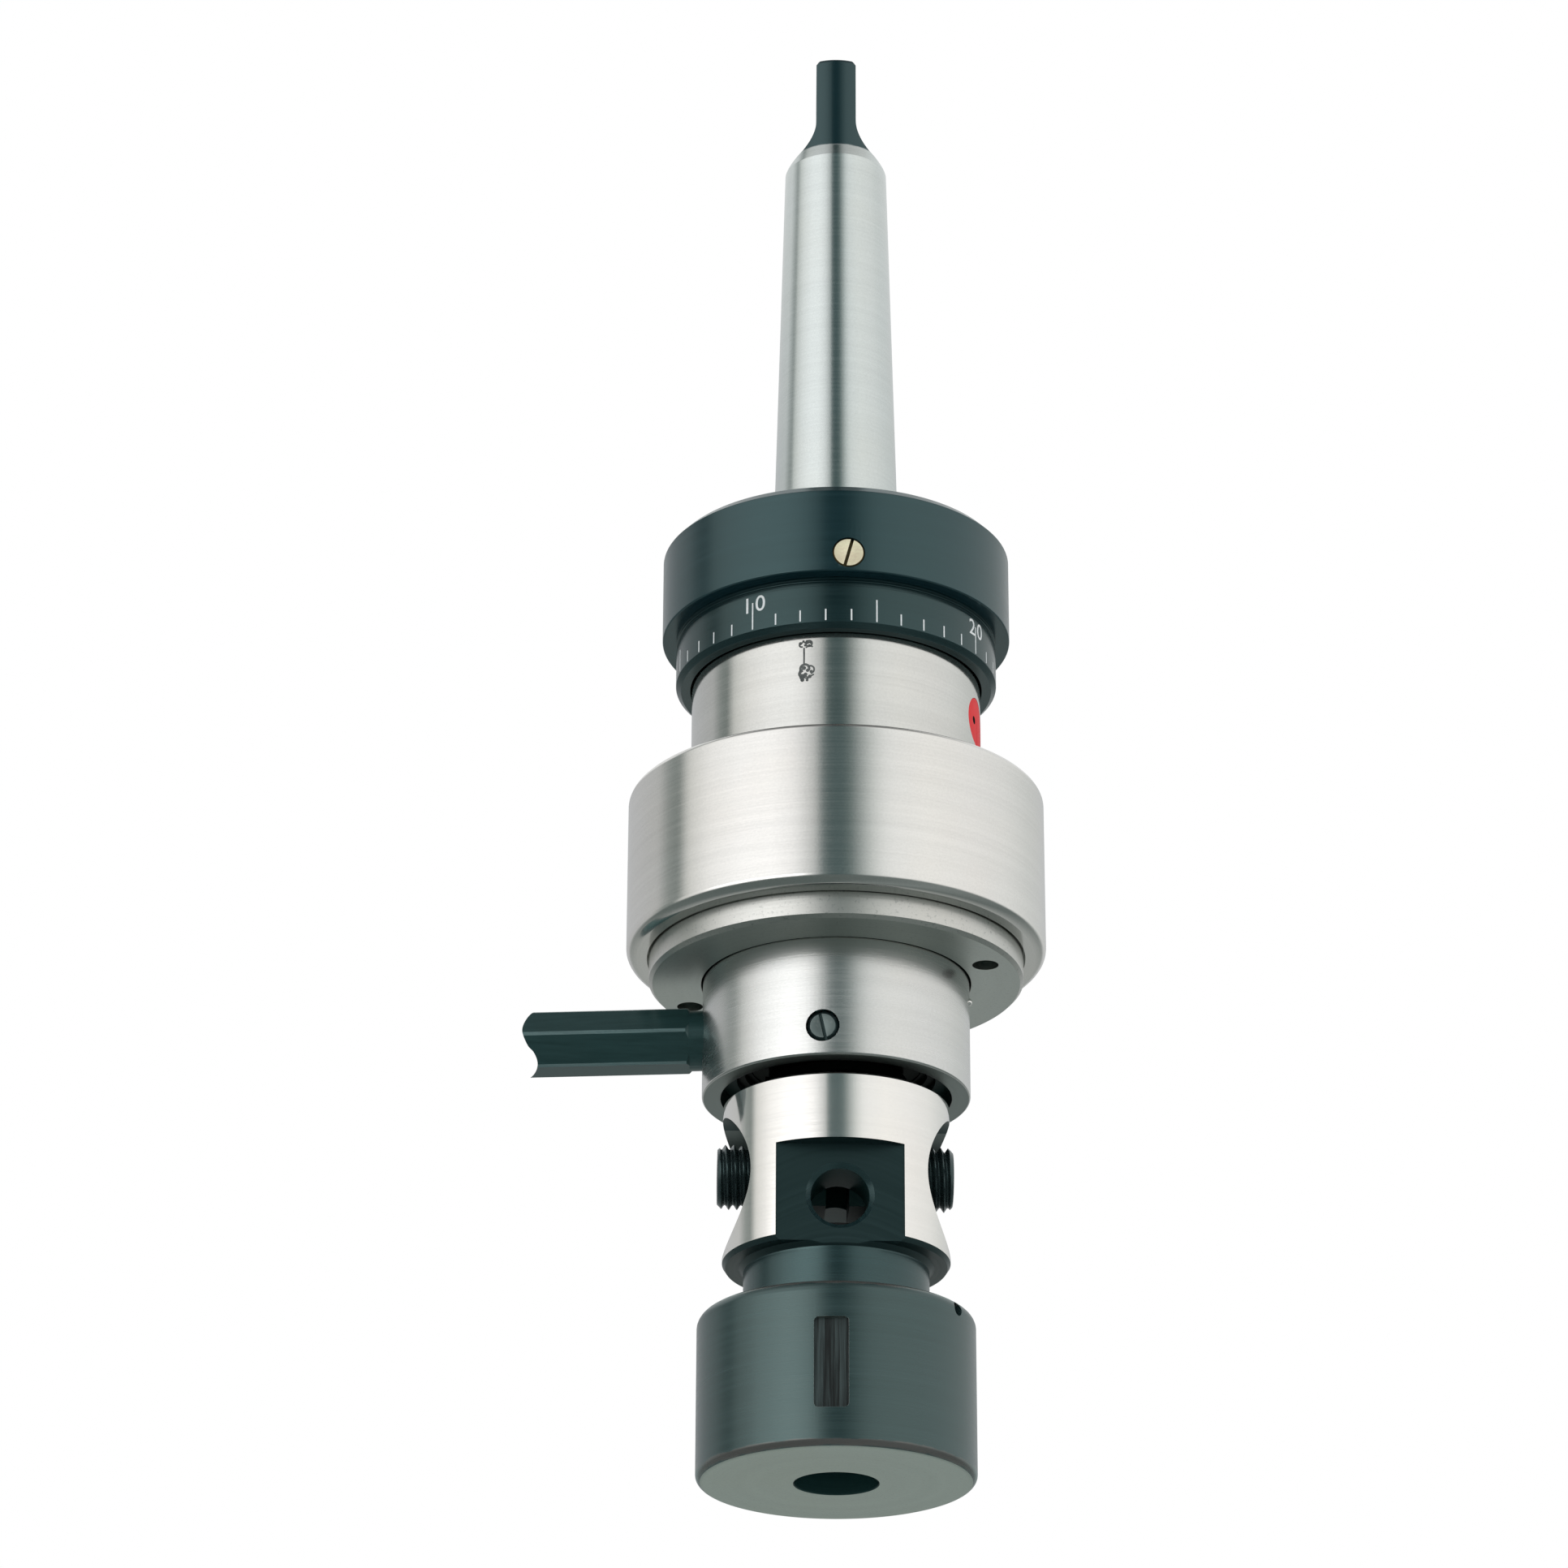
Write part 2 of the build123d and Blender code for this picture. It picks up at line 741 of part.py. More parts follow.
sun_pitch_radius = gear_module * sun_teeth / 2
planet_pitch_radius = gear_module * planet_teeth / 2
ring_pitch_radius = gear_module * ring_teeth / 2
carrier_pitch_radius = sun_pitch_radius + planet_pitch_radius
half_sun_tooth = 180 / sun_teeth
sun_outline = gear_outline(
    sun_teeth,
    sun_pitch_radius + addendum * gear_module,
    sun_pitch_radius - dedendum * gear_module,
    backlash,
    first_planet_angle + half_sun_tooth,
)
with BuildPart() as sun_gear:
    gear(sun_outline, gear_top, gear_bottom)
    ring(sun_hub_radius, 0, gear_bottom, sun_bearing_bottom - sun_hub_tail)
    ring(dog_recess_radius, 0, gear_top, sun_floor, mode=Mode.SUBTRACT)
    ring(sun_bore, 0, sun_floor, sun_bearing_bottom - sun_hub_tail, mode=Mode.SUBTRACT)
    dogs(sun_floor, driver_turn)
write(sun_gear, "sun_gear")

for n in range(planet_count):
    angle = first_planet_angle + n * 360 / planet_count
    planet_outline = gear_outline(
        planet_teeth,
        planet_pitch_radius + addendum * gear_module,
        planet_pitch_radius - dedendum * gear_module,
        backlash,
        angle,
    )
    centre = Vector(carrier_pitch_radius, 0).rotate(Axis.Z, angle)
    with BuildPart() as planet:
        placed = [(x + centre.X, y + centre.Y) for x, y in planet_outline]
        gear(placed, gear_top, gear_bottom)
        with BuildSketch(Plane.XY.offset(gear_bottom)) as bore:
            with Locations(centre):
                Circle(planet_pin_radius + running)
        extrude(bore.sketch, amount=gear_width, mode=Mode.SUBTRACT)
    write(planet, f"planet_gear_{n + 1}")

with BuildPart() as planet_pins:
    for n in range(planet_count):
        angle = first_planet_angle + n * 360 / planet_count
        centre = Vector(carrier_pitch_radius, 0).rotate(Axis.Z, angle)
        with BuildSketch(Plane.XY.offset(carrier_bottom)) as shaft:
            with Locations(centre):
                Circle(planet_pin_radius)
        extrude(shaft.sketch, amount=gear_top - carrier_bottom + end_play)
        with BuildSketch(Plane.XY.offset(gear_top + end_play)) as head:
            with Locations(centre):
                Circle(planet_pin_head_radius)
        extrude(head.sketch, amount=planet_pin_head)
write(planet_pins, "planet_pins")

ring_space = gear_outline(
    ring_teeth,
    ring_pitch_radius + dedendum * gear_module,
    ring_pitch_radius - ring_addendum * gear_module,
    -backlash,
    first_planet_angle,
)
with BuildPart() as ring_gear:
    ring(drum_bore - seat, 0, ring_gear_top, carrier_bottom)
    gear(ring_space, ring_gear_top, gear_bottom, mode=Mode.SUBTRACT)
    ring(skirt_bore, 0, gear_bottom, carrier_bottom, mode=Mode.SUBTRACT)
write(ring_gear, "ring_gear")

# Retainer ring that closes the drum and holds the sleeve bearing
with BuildPart() as retainer_ring:
    turned(
        (sleeve_bearing_outer_radius, carrier_bottom),
        (sleeve_bearing_outer_radius, sleeve_bearing_bottom),
        (retainer_bore, sleeve_bearing_bottom),
        (retainer_bore, retainer_bottom),
        (retainer_radius, retainer_bottom),
        (retainer_radius, retainer_shoulder),
        (drum_bore - seat, retainer_shoulder),
        (drum_bore - seat, carrier_bottom),
    )
    chamfer(rim(retainer_ring, retainer_radius, retainer_bottom), retainer_chamfer)
    with BuildSketch(Plane.XY.offset(retainer_bottom)) as holes:
        with PolarLocations(spanner_hole_circle, 2, start_angle=spanner_hole_azimuth - 90):
            Circle(spanner_hole_radius)
    extrude(holes.sketch, amount=spanner_hole_depth, mode=Mode.SUBTRACT)
write(retainer_ring, "retainer_ring")

bearing(
    sleeve_radius, sleeve_bearing_outer_radius, sleeve_bearing_width, [carrier_bottom], "sleeve_bearing"
)
bearing(
    sun_hub_radius, sun_bearing_outer_radius, sun_bearing_width, [sun_bearing_top], "sun_bearing"
)
bearing(
    bush_radius,
    spindle_bearing_outer_radius,
    spindle_bearing_width,
    [spindle_bearing_top, spindle_bearing_top - spindle_bearing_step],
    "spindle_bearing",
)

# Arm sleeve: planet carrier above, bearing seats inside, torque arm socket at the side
arm_z = sleeve_bottom + arm_height
set_screw_z = sleeve_bottom + set_screw_height
sleeve_bore_top = sleeve_bottom + sleeve_bore_depth
arm_socket = sleeve_radius - arm_socket_depth
sleeve_clip_bottom = spindle_bearing_bottom - circlip_thickness - seat
with BuildPart() as arm_sleeve:
    turned(
        (sun_bearing_outer_radius, carrier_top),
        (sun_bearing_outer_radius, sun_bearing_bottom),
        (sleeve_web_bore, sun_bearing_bottom),
        (sleeve_web_bore, spindle_bearing_top),
        (spindle_bearing_outer_radius, spindle_bearing_top),
        (spindle_bearing_outer_radius, sleeve_bore_top),
        (sleeve_bore, sleeve_bore_top),
        (sleeve_bore, sleeve_bottom),
        (sleeve_radius, sleeve_bottom),
        (sleeve_radius, carrier_bottom),
        (carrier_radius, carrier_bottom),
        (carrier_radius, carrier_top),
    )
    chamfer(rim(arm_sleeve, sleeve_radius, sleeve_bottom), sleeve_chamfer)
    ring(
        spindle_bearing_outer_radius + circlip_groove,
        spindle_bearing_outer_radius - 1,
        spindle_bearing_bottom,
        sleeve_clip_bottom,
        mode=Mode.SUBTRACT,
    )
    with BuildSketch(Plane.XY.offset(carrier_bottom)) as holes:
        with PolarLocations(carrier_pitch_radius, planet_count, start_angle=first_planet_angle):
            Circle(planet_pin_radius + seat)
    extrude(holes.sketch, amount=carrier_thickness, mode=Mode.SUBTRACT)
    with BuildSketch(radial_plane(arm_azimuth, arm_socket, arm_z)) as bore:
        Circle(arm_neck_radius + seat)
    extrude(bore.sketch, amount=2 * arm_socket_depth, mode=Mode.SUBTRACT)
    with BuildSketch(radial_plane(set_screw_azimuth, 0, set_screw_z)) as bore:
        Circle(set_screw_radius + seat)
    extrude(bore.sketch, amount=2 * sleeve_radius, mode=Mode.SUBTRACT)
write(arm_sleeve, "arm_sleeve")

with BuildPart() as sleeve_set_screw:
    face = radial_plane(set_screw_azimuth, sleeve_radius - 0.2, set_screw_z)
    with BuildSketch(face.offset(-set_screw_depth)):
        Circle(set_screw_radius)
    extrude(amount=set_screw_depth)
    chamfer(sleeve_set_screw.edges().filter_by(GeomType.CIRCLE), 0.3)
    screw_slot(face, set_screw_radius, set_screw_tilt)
write(sleeve_set_screw, "sleeve_set_screw")

circlip(
    spindle_bearing_outer_radius - circlip_reach,
    spindle_bearing_outer_radius + circlip_groove - seat,
    spindle_bearing_bottom - seat / 2,
    "sleeve_circlip",
)

with BuildPart() as bearing_spacer:
    spacer_top = spindle_bearing_top - spindle_bearing_width
    ring(
        spindle_bearing_outer_radius - seat,
        spindle_bearing_outer_radius - spacer_thickness,
        spacer_top,
        spacer_top - spindle_bearing_spacing,
    )
write(bearing_spacer, "bearing_spacer")

# Torque arm: a hexagon bar with a round end in the sleeve, cut off along a curve
arm_corner = arm_across_flats / math.sqrt(3)
arm_half = arm_across_flats / 2
arm_side = Plane(
    origin=(0, 0, arm_z),
    x_dir=radial_plane(arm_azimuth, 0, 0).z_dir,
    z_dir=-radial_plane(arm_azimuth, 0, 0).x_dir,
)
with BuildPart() as torque_arm:
    with BuildSketch(radial_plane(arm_azimuth, arm_socket + seat, arm_z)):
        Circle(arm_neck_radius)
    extrude(amount=arm_neck_end - arm_socket - seat)
    with BuildSketch(radial_plane(arm_azimuth, arm_neck_end, arm_z)):
        RegularPolygon(arm_corner, 6)
    extrude(amount=arm_length - arm_neck_end)
    with BuildSketch(arm_side) as core:
        with BuildLine():
            Polyline(
                (arm_neck_end, arm_corner - arm_chamfer),
                (arm_neck_end + arm_chamfer, arm_corner),
                (arm_neck_end, arm_corner),
                close=True,
            )
        make_face()
    arm_axis = Axis(arm_side.origin, arm_side.x_dir)
    revolve(core.sketch, axis=arm_axis, mode=Mode.SUBTRACT)
    with BuildSketch(arm_side) as end_cut:
        with BuildLine():
            crest = Spline(
                (arm_length - arm_end_crest, arm_half + 0.2),
                (arm_length, 0.42 * arm_half),
                (arm_length - arm_end_hollow, -0.48 * arm_half),
                (arm_length - 1.0, -arm_half - 0.2),
            )
            Line(crest @ 0, (arm_length - arm_end_crest, arm_across_flats))
            Line(
                (arm_length - arm_end_crest, arm_across_flats),
                (arm_length + arm_across_flats, arm_across_flats),
            )
            Line(
                (arm_length + arm_across_flats, arm_across_flats),
                (arm_length + arm_across_flats, -arm_across_flats),
            )
            Line(
                (arm_length + arm_across_flats, -arm_across_flats),
                (arm_length - 1.0, -arm_across_flats),
            )
            Line((arm_length - 1.0, -arm_across_flats), crest @ 1)
        make_face()
    extrude(end_cut.sketch, amount=arm_across_flats, both=True, mode=Mode.SUBTRACT)
write(torque_arm, "torque_arm")

# Guide bush: turns with the spindle, which slides through it on keys
with BuildPart() as guide_bush:
    ring(bush_radius, 0, bush_top, bush_bottom)
    ring(bush_flange_radius, 0, spindle_bearing_bottom, bush_bottom)
    with BuildSketch(Plane.XY.offset(bush_bottom)) as bore:
        Circle(spindle_radius + running)
        with PolarLocations(spindle_radius + running, bush_key_count):
            Rectangle(2 * bush_key_depth, bush_key_width, mode=Mode.SUBTRACT)
    extrude(bore.sketch, amount=bush_top - bush_bottom, mode=Mode.SUBTRACT)
write(guide_bush, "guide_bush")

# Spindle: keyed shaft, chuck body and threaded nose in one piece
chuck_turn = radial_plane(chuck_azimuth, 0, 0)
ledge_z = chuck_top - flat_drop
key_floor = spindle_radius - bush_key_depth - running
key_slot_top = bush_top + float_down + 1
key_slot_bottom = bush_bottom - float_up - 1
chamber_depth = jaw_width + 2 * running
with BuildPart() as spindle:
    turned(
        (0, spindle_top),
        (dog_bore, spindle_top),
        (dog_bore, flange_bottom),
        (spindle_radius, flange_bottom),
        (spindle_radius, chuck_top),
        (spring_recess_inner, chuck_top),
        (spring_recess_inner, chuck_top - spring_recess_depth),
        (spring_recess_radius, chuck_top - spring_recess_depth),
        (spring_recess_radius, chuck_top),
        (chuck_radius, chuck_top),
        (chuck_radius, chuck_bottom),
        (nose_radius, chuck_bottom),
        (nose_radius, nose_bottom),
        (0, nose_bottom),
    )
    chamfer(rim(spindle, chuck_radius, chuck_top), chuck_chamfer)
    chamfer(rim(spindle, chuck_radius, chuck_bottom), chuck_chamfer)
    chamfer(rim(spindle, nose_radius, nose_bottom), nose_chamfer)
    chamfer(rim(spindle, dog_bore, spindle_top), chuck_chamfer)
    ring(
        spindle_radius,
        dog_bore - circlip_groove,
        flange_top + circlip_thickness + seat,
        flange_top,
        mode=Mode.SUBTRACT,
    )
    with BuildSketch(Plane.XY.offset(key_slot_bottom)) as slots:
        with PolarLocations(key_floor + spindle_radius, bush_key_count):
            Rectangle(2 * spindle_radius, bush_key_width + 2 * running)
    extrude(slots.sketch, amount=key_slot_top - key_slot_bottom, mode=Mode.SUBTRACT)
    # bore of the nose, widening downwards as the collet does
    slope = (collet_large_radius - collet_top_radius) / (collet_top - collet_large_z)
    nose_mouth = collet_large_radius - slope * (nose_bottom - collet_large_z) + running
    chamber_floor = collet_top + end_play
    turned(
        (0, chamber_floor),
        (collet_top_radius - slope * end_play + running, chamber_floor),
        (nose_mouth, nose_bottom),
        (0, nose_bottom),
        mode=Mode.SUBTRACT,
    )
    # jaw chamber, screw holes, windows and flats
    with BuildSketch(chuck_turn.offset(-chamber_depth / 2)) as chamber:
        with BuildLine():
            Polyline(
                (-chamber_half, chamber_top),
                (chamber_half, chamber_top),
                (chamber_half, chamber_floor),
                (-chamber_half, chamber_floor),
                close=True,
            )
        make_face()
    extrude(chamber.sketch, amount=chamber_depth, mode=Mode.SUBTRACT)
    for turn in (90, -90):
        outward = radial_plane(chuck_azimuth + turn, 0, jaw_screw_z)
        with BuildSketch(outward) as bore:
            Circle(jaw_screw_radius + thread_play)
        extrude(bore.sketch, amount=chuck_radius, mode=Mode.SUBTRACT)
        spot = radial_plane(chuck_azimuth + turn, spot_face_floor, chuck_top - spot_face_drop)
        with BuildSketch(spot) as face_cut:
            Circle(spot_face_radius)
        extrude(face_cut.sketch, amount=chuck_radius, mode=Mode.SUBTRACT)
    for turn in (0, 180):
        outward = radial_plane(chuck_azimuth + turn, flat_offset, 0)
        with BuildSketch(outward) as flat:
            with Locations((0, ledge_z)):
                top_edge = (Align.CENTER, Align.MAX)
                Rectangle(flat_width, ledge_z - chuck_bottom + running, align=top_edge)
        extrude(flat.sketch, amount=chuck_radius, mode=Mode.SUBTRACT)
        mouth = radial_plane(chuck_azimuth + turn, 0, window_z)
        with BuildSketch(mouth) as window:
            Circle(window_radius)
        extrude(window.sketch, amount=chuck_radius, mode=Mode.SUBTRACT)
        sink = radial_plane(chuck_azimuth + turn, flat_offset - window_chamfer, window_z)
        with BuildSketch(sink) as edge:
            Circle(window_radius)
        extrude(edge.sketch, amount=2 * window_chamfer, taper=-45, mode=Mode.SUBTRACT)
write(spindle, "spindle")

circlip(
    dog_bore - circlip_groove + seat,
    dog_inner - end_play,
    flange_top + circlip_thickness + seat / 2,
    "dog_circlip",
)

# Return spring: square wire, from the guide bush to the recess in the chuck body
coil_top = bush_bottom - end_play - return_spring_wire / 2
coil_bottom = chuck_top - spring_recess_depth + end_play + return_spring_wire / 2
with BuildPart() as return_spring:
    with BuildLine() as coil:
        Helix(
            (coil_top - coil_bottom) / return_spring_turns,
            coil_top - coil_bottom,
            return_spring_radius,
            center=(0, 0, coil_bottom),
        )
    with BuildSketch(Plane(coil.line @ 0, x_dir=(1, 0, 0), z_dir=coil.line % 0)):
        Rectangle(return_spring_wire, return_spring_wire)
    sweep(is_frenet=True)
write(return_spring, "return_spring")


def toward(side):
    """The plane that looks out along a jaw screw, side 1 to the right and -1 to the left."""
    return radial_plane(chuck_azimuth + 90 * side, 0, jaw_screw_z)


# Jaws and their screws, joined by a button in a T-slot
jaw_middle = (jaw_top + jaw_bottom) / 2 - jaw_screw_z
button_start = jaw_gap / 2 + jaw_wall + running
button_end = button_start + button_thickness
jaw_back = jaw_gap / 2 + jaw_thickness
screw_start = jaw_back + running
for side, name in ((1, "right"), (-1, "left")):
    out = toward(side)
    with BuildPart() as jaw:
        with BuildSketch(out.offset(jaw_gap / 2)):
            with Locations((0, jaw_middle)):
                Rectangle(jaw_width, jaw_top - jaw_bottom)
        extrude(amount=jaw_thickness)
        slots = (
            (button_start - running, button_end + running, button_radius + running),
            (button_end, jaw_back, button_neck_radius + running),
        )
        for start, end, half in slots:
            with BuildSketch(out.offset(start)) as slot:
                Circle(half)
                with Locations((0, jaw_top - jaw_screw_z)):
                    Rectangle(2 * half, 2 * (jaw_top - jaw_screw_z))
            extrude(slot.sketch, amount=end - start, mode=Mode.SUBTRACT)
    write(jaw, f"jaw_{name}")
    with BuildPart() as jaw_screw:
        with BuildSketch(out.offset(button_start)):
            Circle(button_radius)
        extrude(amount=button_thickness)
        with BuildSketch(out.offset(button_end)):
            Circle(button_neck_radius)
        extrude(amount=screw_start - button_end)
        with BuildSketch(out.offset(screw_start)):
            Circle(jaw_screw_radius)
        extrude(amount=jaw_screw_end - screw_start)
        crests = jaw_screw.edges().filter_by(GeomType.CIRCLE)
        chamfer(crests.filter_by(lambda e: e.radius > button_radius + 0.1), jaw_screw_chamfer)
        with BuildSketch(out.offset(jaw_screw_end - jaw_socket_depth)) as socket:
            RegularPolygon(jaw_socket_flats / math.sqrt(3), 6)
        extrude(socket.sketch, amount=jaw_socket_depth, mode=Mode.SUBTRACT)
    write(jaw_screw, f"jaw_screw_{name}")

# Collet: steel blades set in rubber, between the spindle's cone and the nut's cone
collet_outline = (
    (collet_hole, collet_front),
    (collet_front_radius, collet_front),
    (collet_large_radius, collet_large_z),
    (collet_top_radius, collet_top),
    (collet_hole, collet_top),
)
blade_top = collet_top - blade_end
blade_top_radius = collet_top_radius + slope * blade_end
with BuildPart() as blade:
    with BuildSketch(Plane.XZ.offset(-blade_thickness / 2)):
        with BuildLine():
            Polyline(
                (collet_hole, collet_front),
                (collet_front_radius, collet_front),
                (collet_large_radius, collet_large_z),
                (blade_top_radius, blade_top),
                (collet_hole, blade_top),
                close=True,
            )
        make_face()
    extrude(amount=blade_thickness)
with BuildPart() as collet_blades:
    for n in range(blade_count):
        add(blade.part.rotate(Axis.Z, n * 360 / blade_count))
    ring(collet_hole, 0, collet_top, collet_front, mode=Mode.SUBTRACT)
write(collet_blades, "collet_blades")

with BuildPart() as collet_rubber:
    turned(*collet_outline)
    with BuildSketch(Plane.XY.offset(collet_front)) as slots:
        with PolarLocations(collet_large_radius / 2, blade_count):
            Rectangle(collet_large_radius + 2, blade_thickness + 2 * seat)
    extrude(slots.sketch, amount=blade_top + seat - collet_front, mode=Mode.SUBTRACT)
write(collet_rubber, "collet_rubber")

# Collet nut
nut_thread = nose_radius + thread_play
cone_top_radius = collet_large_radius + running
with BuildPart() as collet_nut:
    turned(
        (nut_opening, nut_bottom),
        (nut_radius, nut_bottom),
        (nut_radius, nut_top),
        (nut_thread, nut_top),
        (nut_thread, nose_bottom - 1),
        (cone_top_radius + 0.6, nose_bottom - 1),
        (cone_top_radius + 0.6, collet_large_z),
        (collet_front_radius + running, collet_front - running),
        (nut_opening, collet_front - running),
    )
    fillet(rim(collet_nut, nut_radius, nut_top), nut_round)
    fillet(rim(collet_nut, nut_radius, nut_bottom), nut_round)
    chamfer(rim(collet_nut, nut_opening, nut_bottom), nut_opening_chamfer)
    slot_z = nut_top - nut_slot_drop - nut_slot_length / 2
    for n in range(nut_slot_count):
        azimuth = nut_slot_azimuth + n * 360 / nut_slot_count
        with BuildSketch(radial_plane(azimuth, nut_radius - nut_slot_depth, slot_z)) as slot:
            Rectangle(nut_slot_width, nut_slot_length)
            fillet(slot.vertices(), 0.8)
        extrude(slot.sketch, amount=nut_radius, mode=Mode.SUBTRACT)
    drilled = radial_plane(nut_hole_azimuth, nut_radius - nut_hole_depth, nut_top - nut_hole_drop)
    with BuildSketch(drilled) as bore:
        Circle(nut_hole_radius)
    extrude(bore.sketch, amount=nut_radius, mode=Mode.SUBTRACT)
write(collet_nut, "collet_nut")
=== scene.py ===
import math

import bmesh
import bpy
from mathutils import Matrix, Vector


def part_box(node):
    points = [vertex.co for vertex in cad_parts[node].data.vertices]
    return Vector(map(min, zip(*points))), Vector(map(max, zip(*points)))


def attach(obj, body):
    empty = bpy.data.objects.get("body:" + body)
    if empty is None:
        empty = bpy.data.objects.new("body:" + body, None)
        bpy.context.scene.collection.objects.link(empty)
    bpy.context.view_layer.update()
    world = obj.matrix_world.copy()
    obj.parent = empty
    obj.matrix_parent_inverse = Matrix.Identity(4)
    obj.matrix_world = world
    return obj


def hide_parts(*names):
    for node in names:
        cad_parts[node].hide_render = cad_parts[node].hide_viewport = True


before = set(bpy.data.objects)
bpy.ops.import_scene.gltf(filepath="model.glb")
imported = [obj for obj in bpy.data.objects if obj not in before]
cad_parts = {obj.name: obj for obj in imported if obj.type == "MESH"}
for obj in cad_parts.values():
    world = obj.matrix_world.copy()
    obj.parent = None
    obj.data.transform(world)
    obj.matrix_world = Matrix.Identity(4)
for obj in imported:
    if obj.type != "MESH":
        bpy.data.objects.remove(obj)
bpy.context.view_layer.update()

# Sizes are in millimetres up to the meshes, which are in metres. Azimuths are in degrees about Z
# from the front (-Y), positive towards +X, as in the solids.
MM = 0.001
STEPS = 192
FINE_STEPS = 240
SPINDLE_STEPS = 216


def levels(node):
    """The lowest and the highest level of a solid."""
    low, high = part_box(node)
    return low.z / MM, high.z / MM


# Fits, by radius
seat = 0.02
running = 0.05
thread_play = 0.06
screw_play = 0.08

# Levels that the solids give
arbor_bottom, tang_end = levels("arbor")
spigot_end, collar_top = levels("torque_collar")
scale_bottom, collar_bottom = levels("scale_ring")
drum_bottom, tube_top = levels("housing")
arbor_bearing_bottom, arbor_bearing_top = levels("arbor_bearing_outer")
dog_height = 2.2
driver_bottom = levels("forward_driver")[0] + dog_height
retainer_bottom, retainer_top = levels("retainer_ring")
sleeve_bearing_bottom = levels("sleeve_bearing_outer")[0]
sleeve_bottom, carrier_top = levels("arm_sleeve")
nose_bottom, spindle_top = levels("spindle")
nut_bottom, nut_top = levels("collet_nut")

# Levels inside the solids
spline_top = -37.45
clutch_seat = -48.09
dog_clip_top = -73.77
dog_flange_top = -74.99
dog_flange_bottom = -77.99
ring_gear_top = -78.19
carrier_bottom = -91.19
sun_bearing_bottom = -95.19
spindle_bearing_top = -98.19
spindle_bearing_bottom = -119.19
sleeve_clip_bottom = -120.41
key_slot_bottom = -124.09

# Shank
taper = 1 / 39.844  # of the radius
gauge_radius = 11.9125
shank_bottom = -5.0
arbor_radius = 12.05
arbor_bearing_bore = 8.5
arbor_shoulder_radius = 10.5
spline_root = 13.0
spline_tip = 15.0
spline_width = 4.0
shoulder = 71.4
tang_root = 74.0
tang_radius = 9.5
tang_half = 3.95
tang_run_out = 7.9
tang_foot_half = 6.6  # half the tang's thickness where its flats end
tang_foot_reach = 10.3
tang_tip_chamfer = 1.4
tang_clear = 19.0

# Torque collar and scale ring
collar_radius = 33.5
collar_bore = 12.9
collar_chamfer = 1.6
collar_web = 6.5
spigot_radius = 29.6
lock_azimuth = 3.5
lock_z = collar_top - 14.5
lock_radius = 3.0
lock_face_radius = lock_radius - 0.28
lock_length = 6.28
lock_tilt = -15
lock_hole_start = 24.0
screw_slot_width = 0.6
screw_slot_depth = 1.1
screw_chamfer = 0.3
scale_radius = 30.8
scale_bore = 28.0
scale_chamfer_width = 1.0
scale_chamfer_height = 0.9
groove_drop = 1.0  # of the groove below the collar
groove_width = 0.9
groove_depth = 0.3
line_depth = 0.18
divisions = 40
azimuth_of_15 = 13.8
tick_width = 0.28
tick_foot = scale_bottom + 1.2
short_tick = 2.3
middle_tick = 4.55
long_tick = 5.5
figure_height = 3.3
figure_foot = tick_foot + 3.6
tens_x = -1.2
ones_x = 1.65
figure_share = 0.729  # height of the font's figures in its size
paint_half = 0.012

# Housing
drum_radius = 39.5
drum_bore = 35.55
drum_top = drum_bottom + 31.8
drum_top_round = 1.2
drum_bottom_round = 2.0
neck_radius = 27.7
neck_top = -38.0
tube_radius = 27.0
clutch_bore = 22.5
key_reach = 24.3
key_way_width = 5.1
arbor_bearing_radius = 17.5
web_bore = 12.0
driver_radius = 16.0
driver_thickness = 3.0
dog_room_radius = 29.0
plug_azimuth = 75.0
plug_z = drum_top + 14.0
plug_radius = 5.0
plug_seat = 24.9
plug_length = 3.4
dimple_azimuth = plug_azimuth - 4.0
dimple_radius = 0.8
dimple_floor = 26.1
mark_azimuth = -13.1
mark_half_depth = 0.01

# Retainer, sleeve and arm
retainer_radius = 35.2
retainer_bore = 25.3
retainer_chamfer = 0.7
retainer_shoulder = drum_bottom + 1.6
spanner_hole_azimuth = 67.9
spanner_hole_circle = 29.8
spanner_hole_radius = 2.45
spanner_hole_depth = 3.0
sleeve_bearing_radius = 32.5
sun_bearing_radius = 16.0
spindle_bearing_radius = 18.5
circlip_groove = 0.8
carrier_radius = 30.0
sleeve_web_bore = 13.0
sleeve_radius = 25.0
sleeve_bore = 21.5
sleeve_bore_top = sleeve_bottom + 3.8
set_screw_azimuth = -6.3
set_screw_z = sleeve_bottom + 5.6
set_hole_start = 15.0
set_screw_radius = 3.08
set_face_radius = 2.3
set_screw_length = 2.7
set_screw_tilt = 12
arm_azimuth = -94.6
arm_z = sleeve_bottom + 12.4
arm_across_flats = 11.0
arm_corner = arm_across_flats / math.sqrt(3)
arm_half = arm_across_flats / 2
arm_chamfer = 1.0
arm_edge_width = 0.4
arm_socket_floor = 20.4
arm_neck_radius = 5.65
arm_neck_end = 27.0
arm_length = 58.4
arm_cut_lean = -0.372  # slope of the cut end across the bar
arm_cut_reach = 14.0
oiler_azimuth = 84.0
oiler_z = retainer_bottom - 4.1
oiler_radius = 0.85

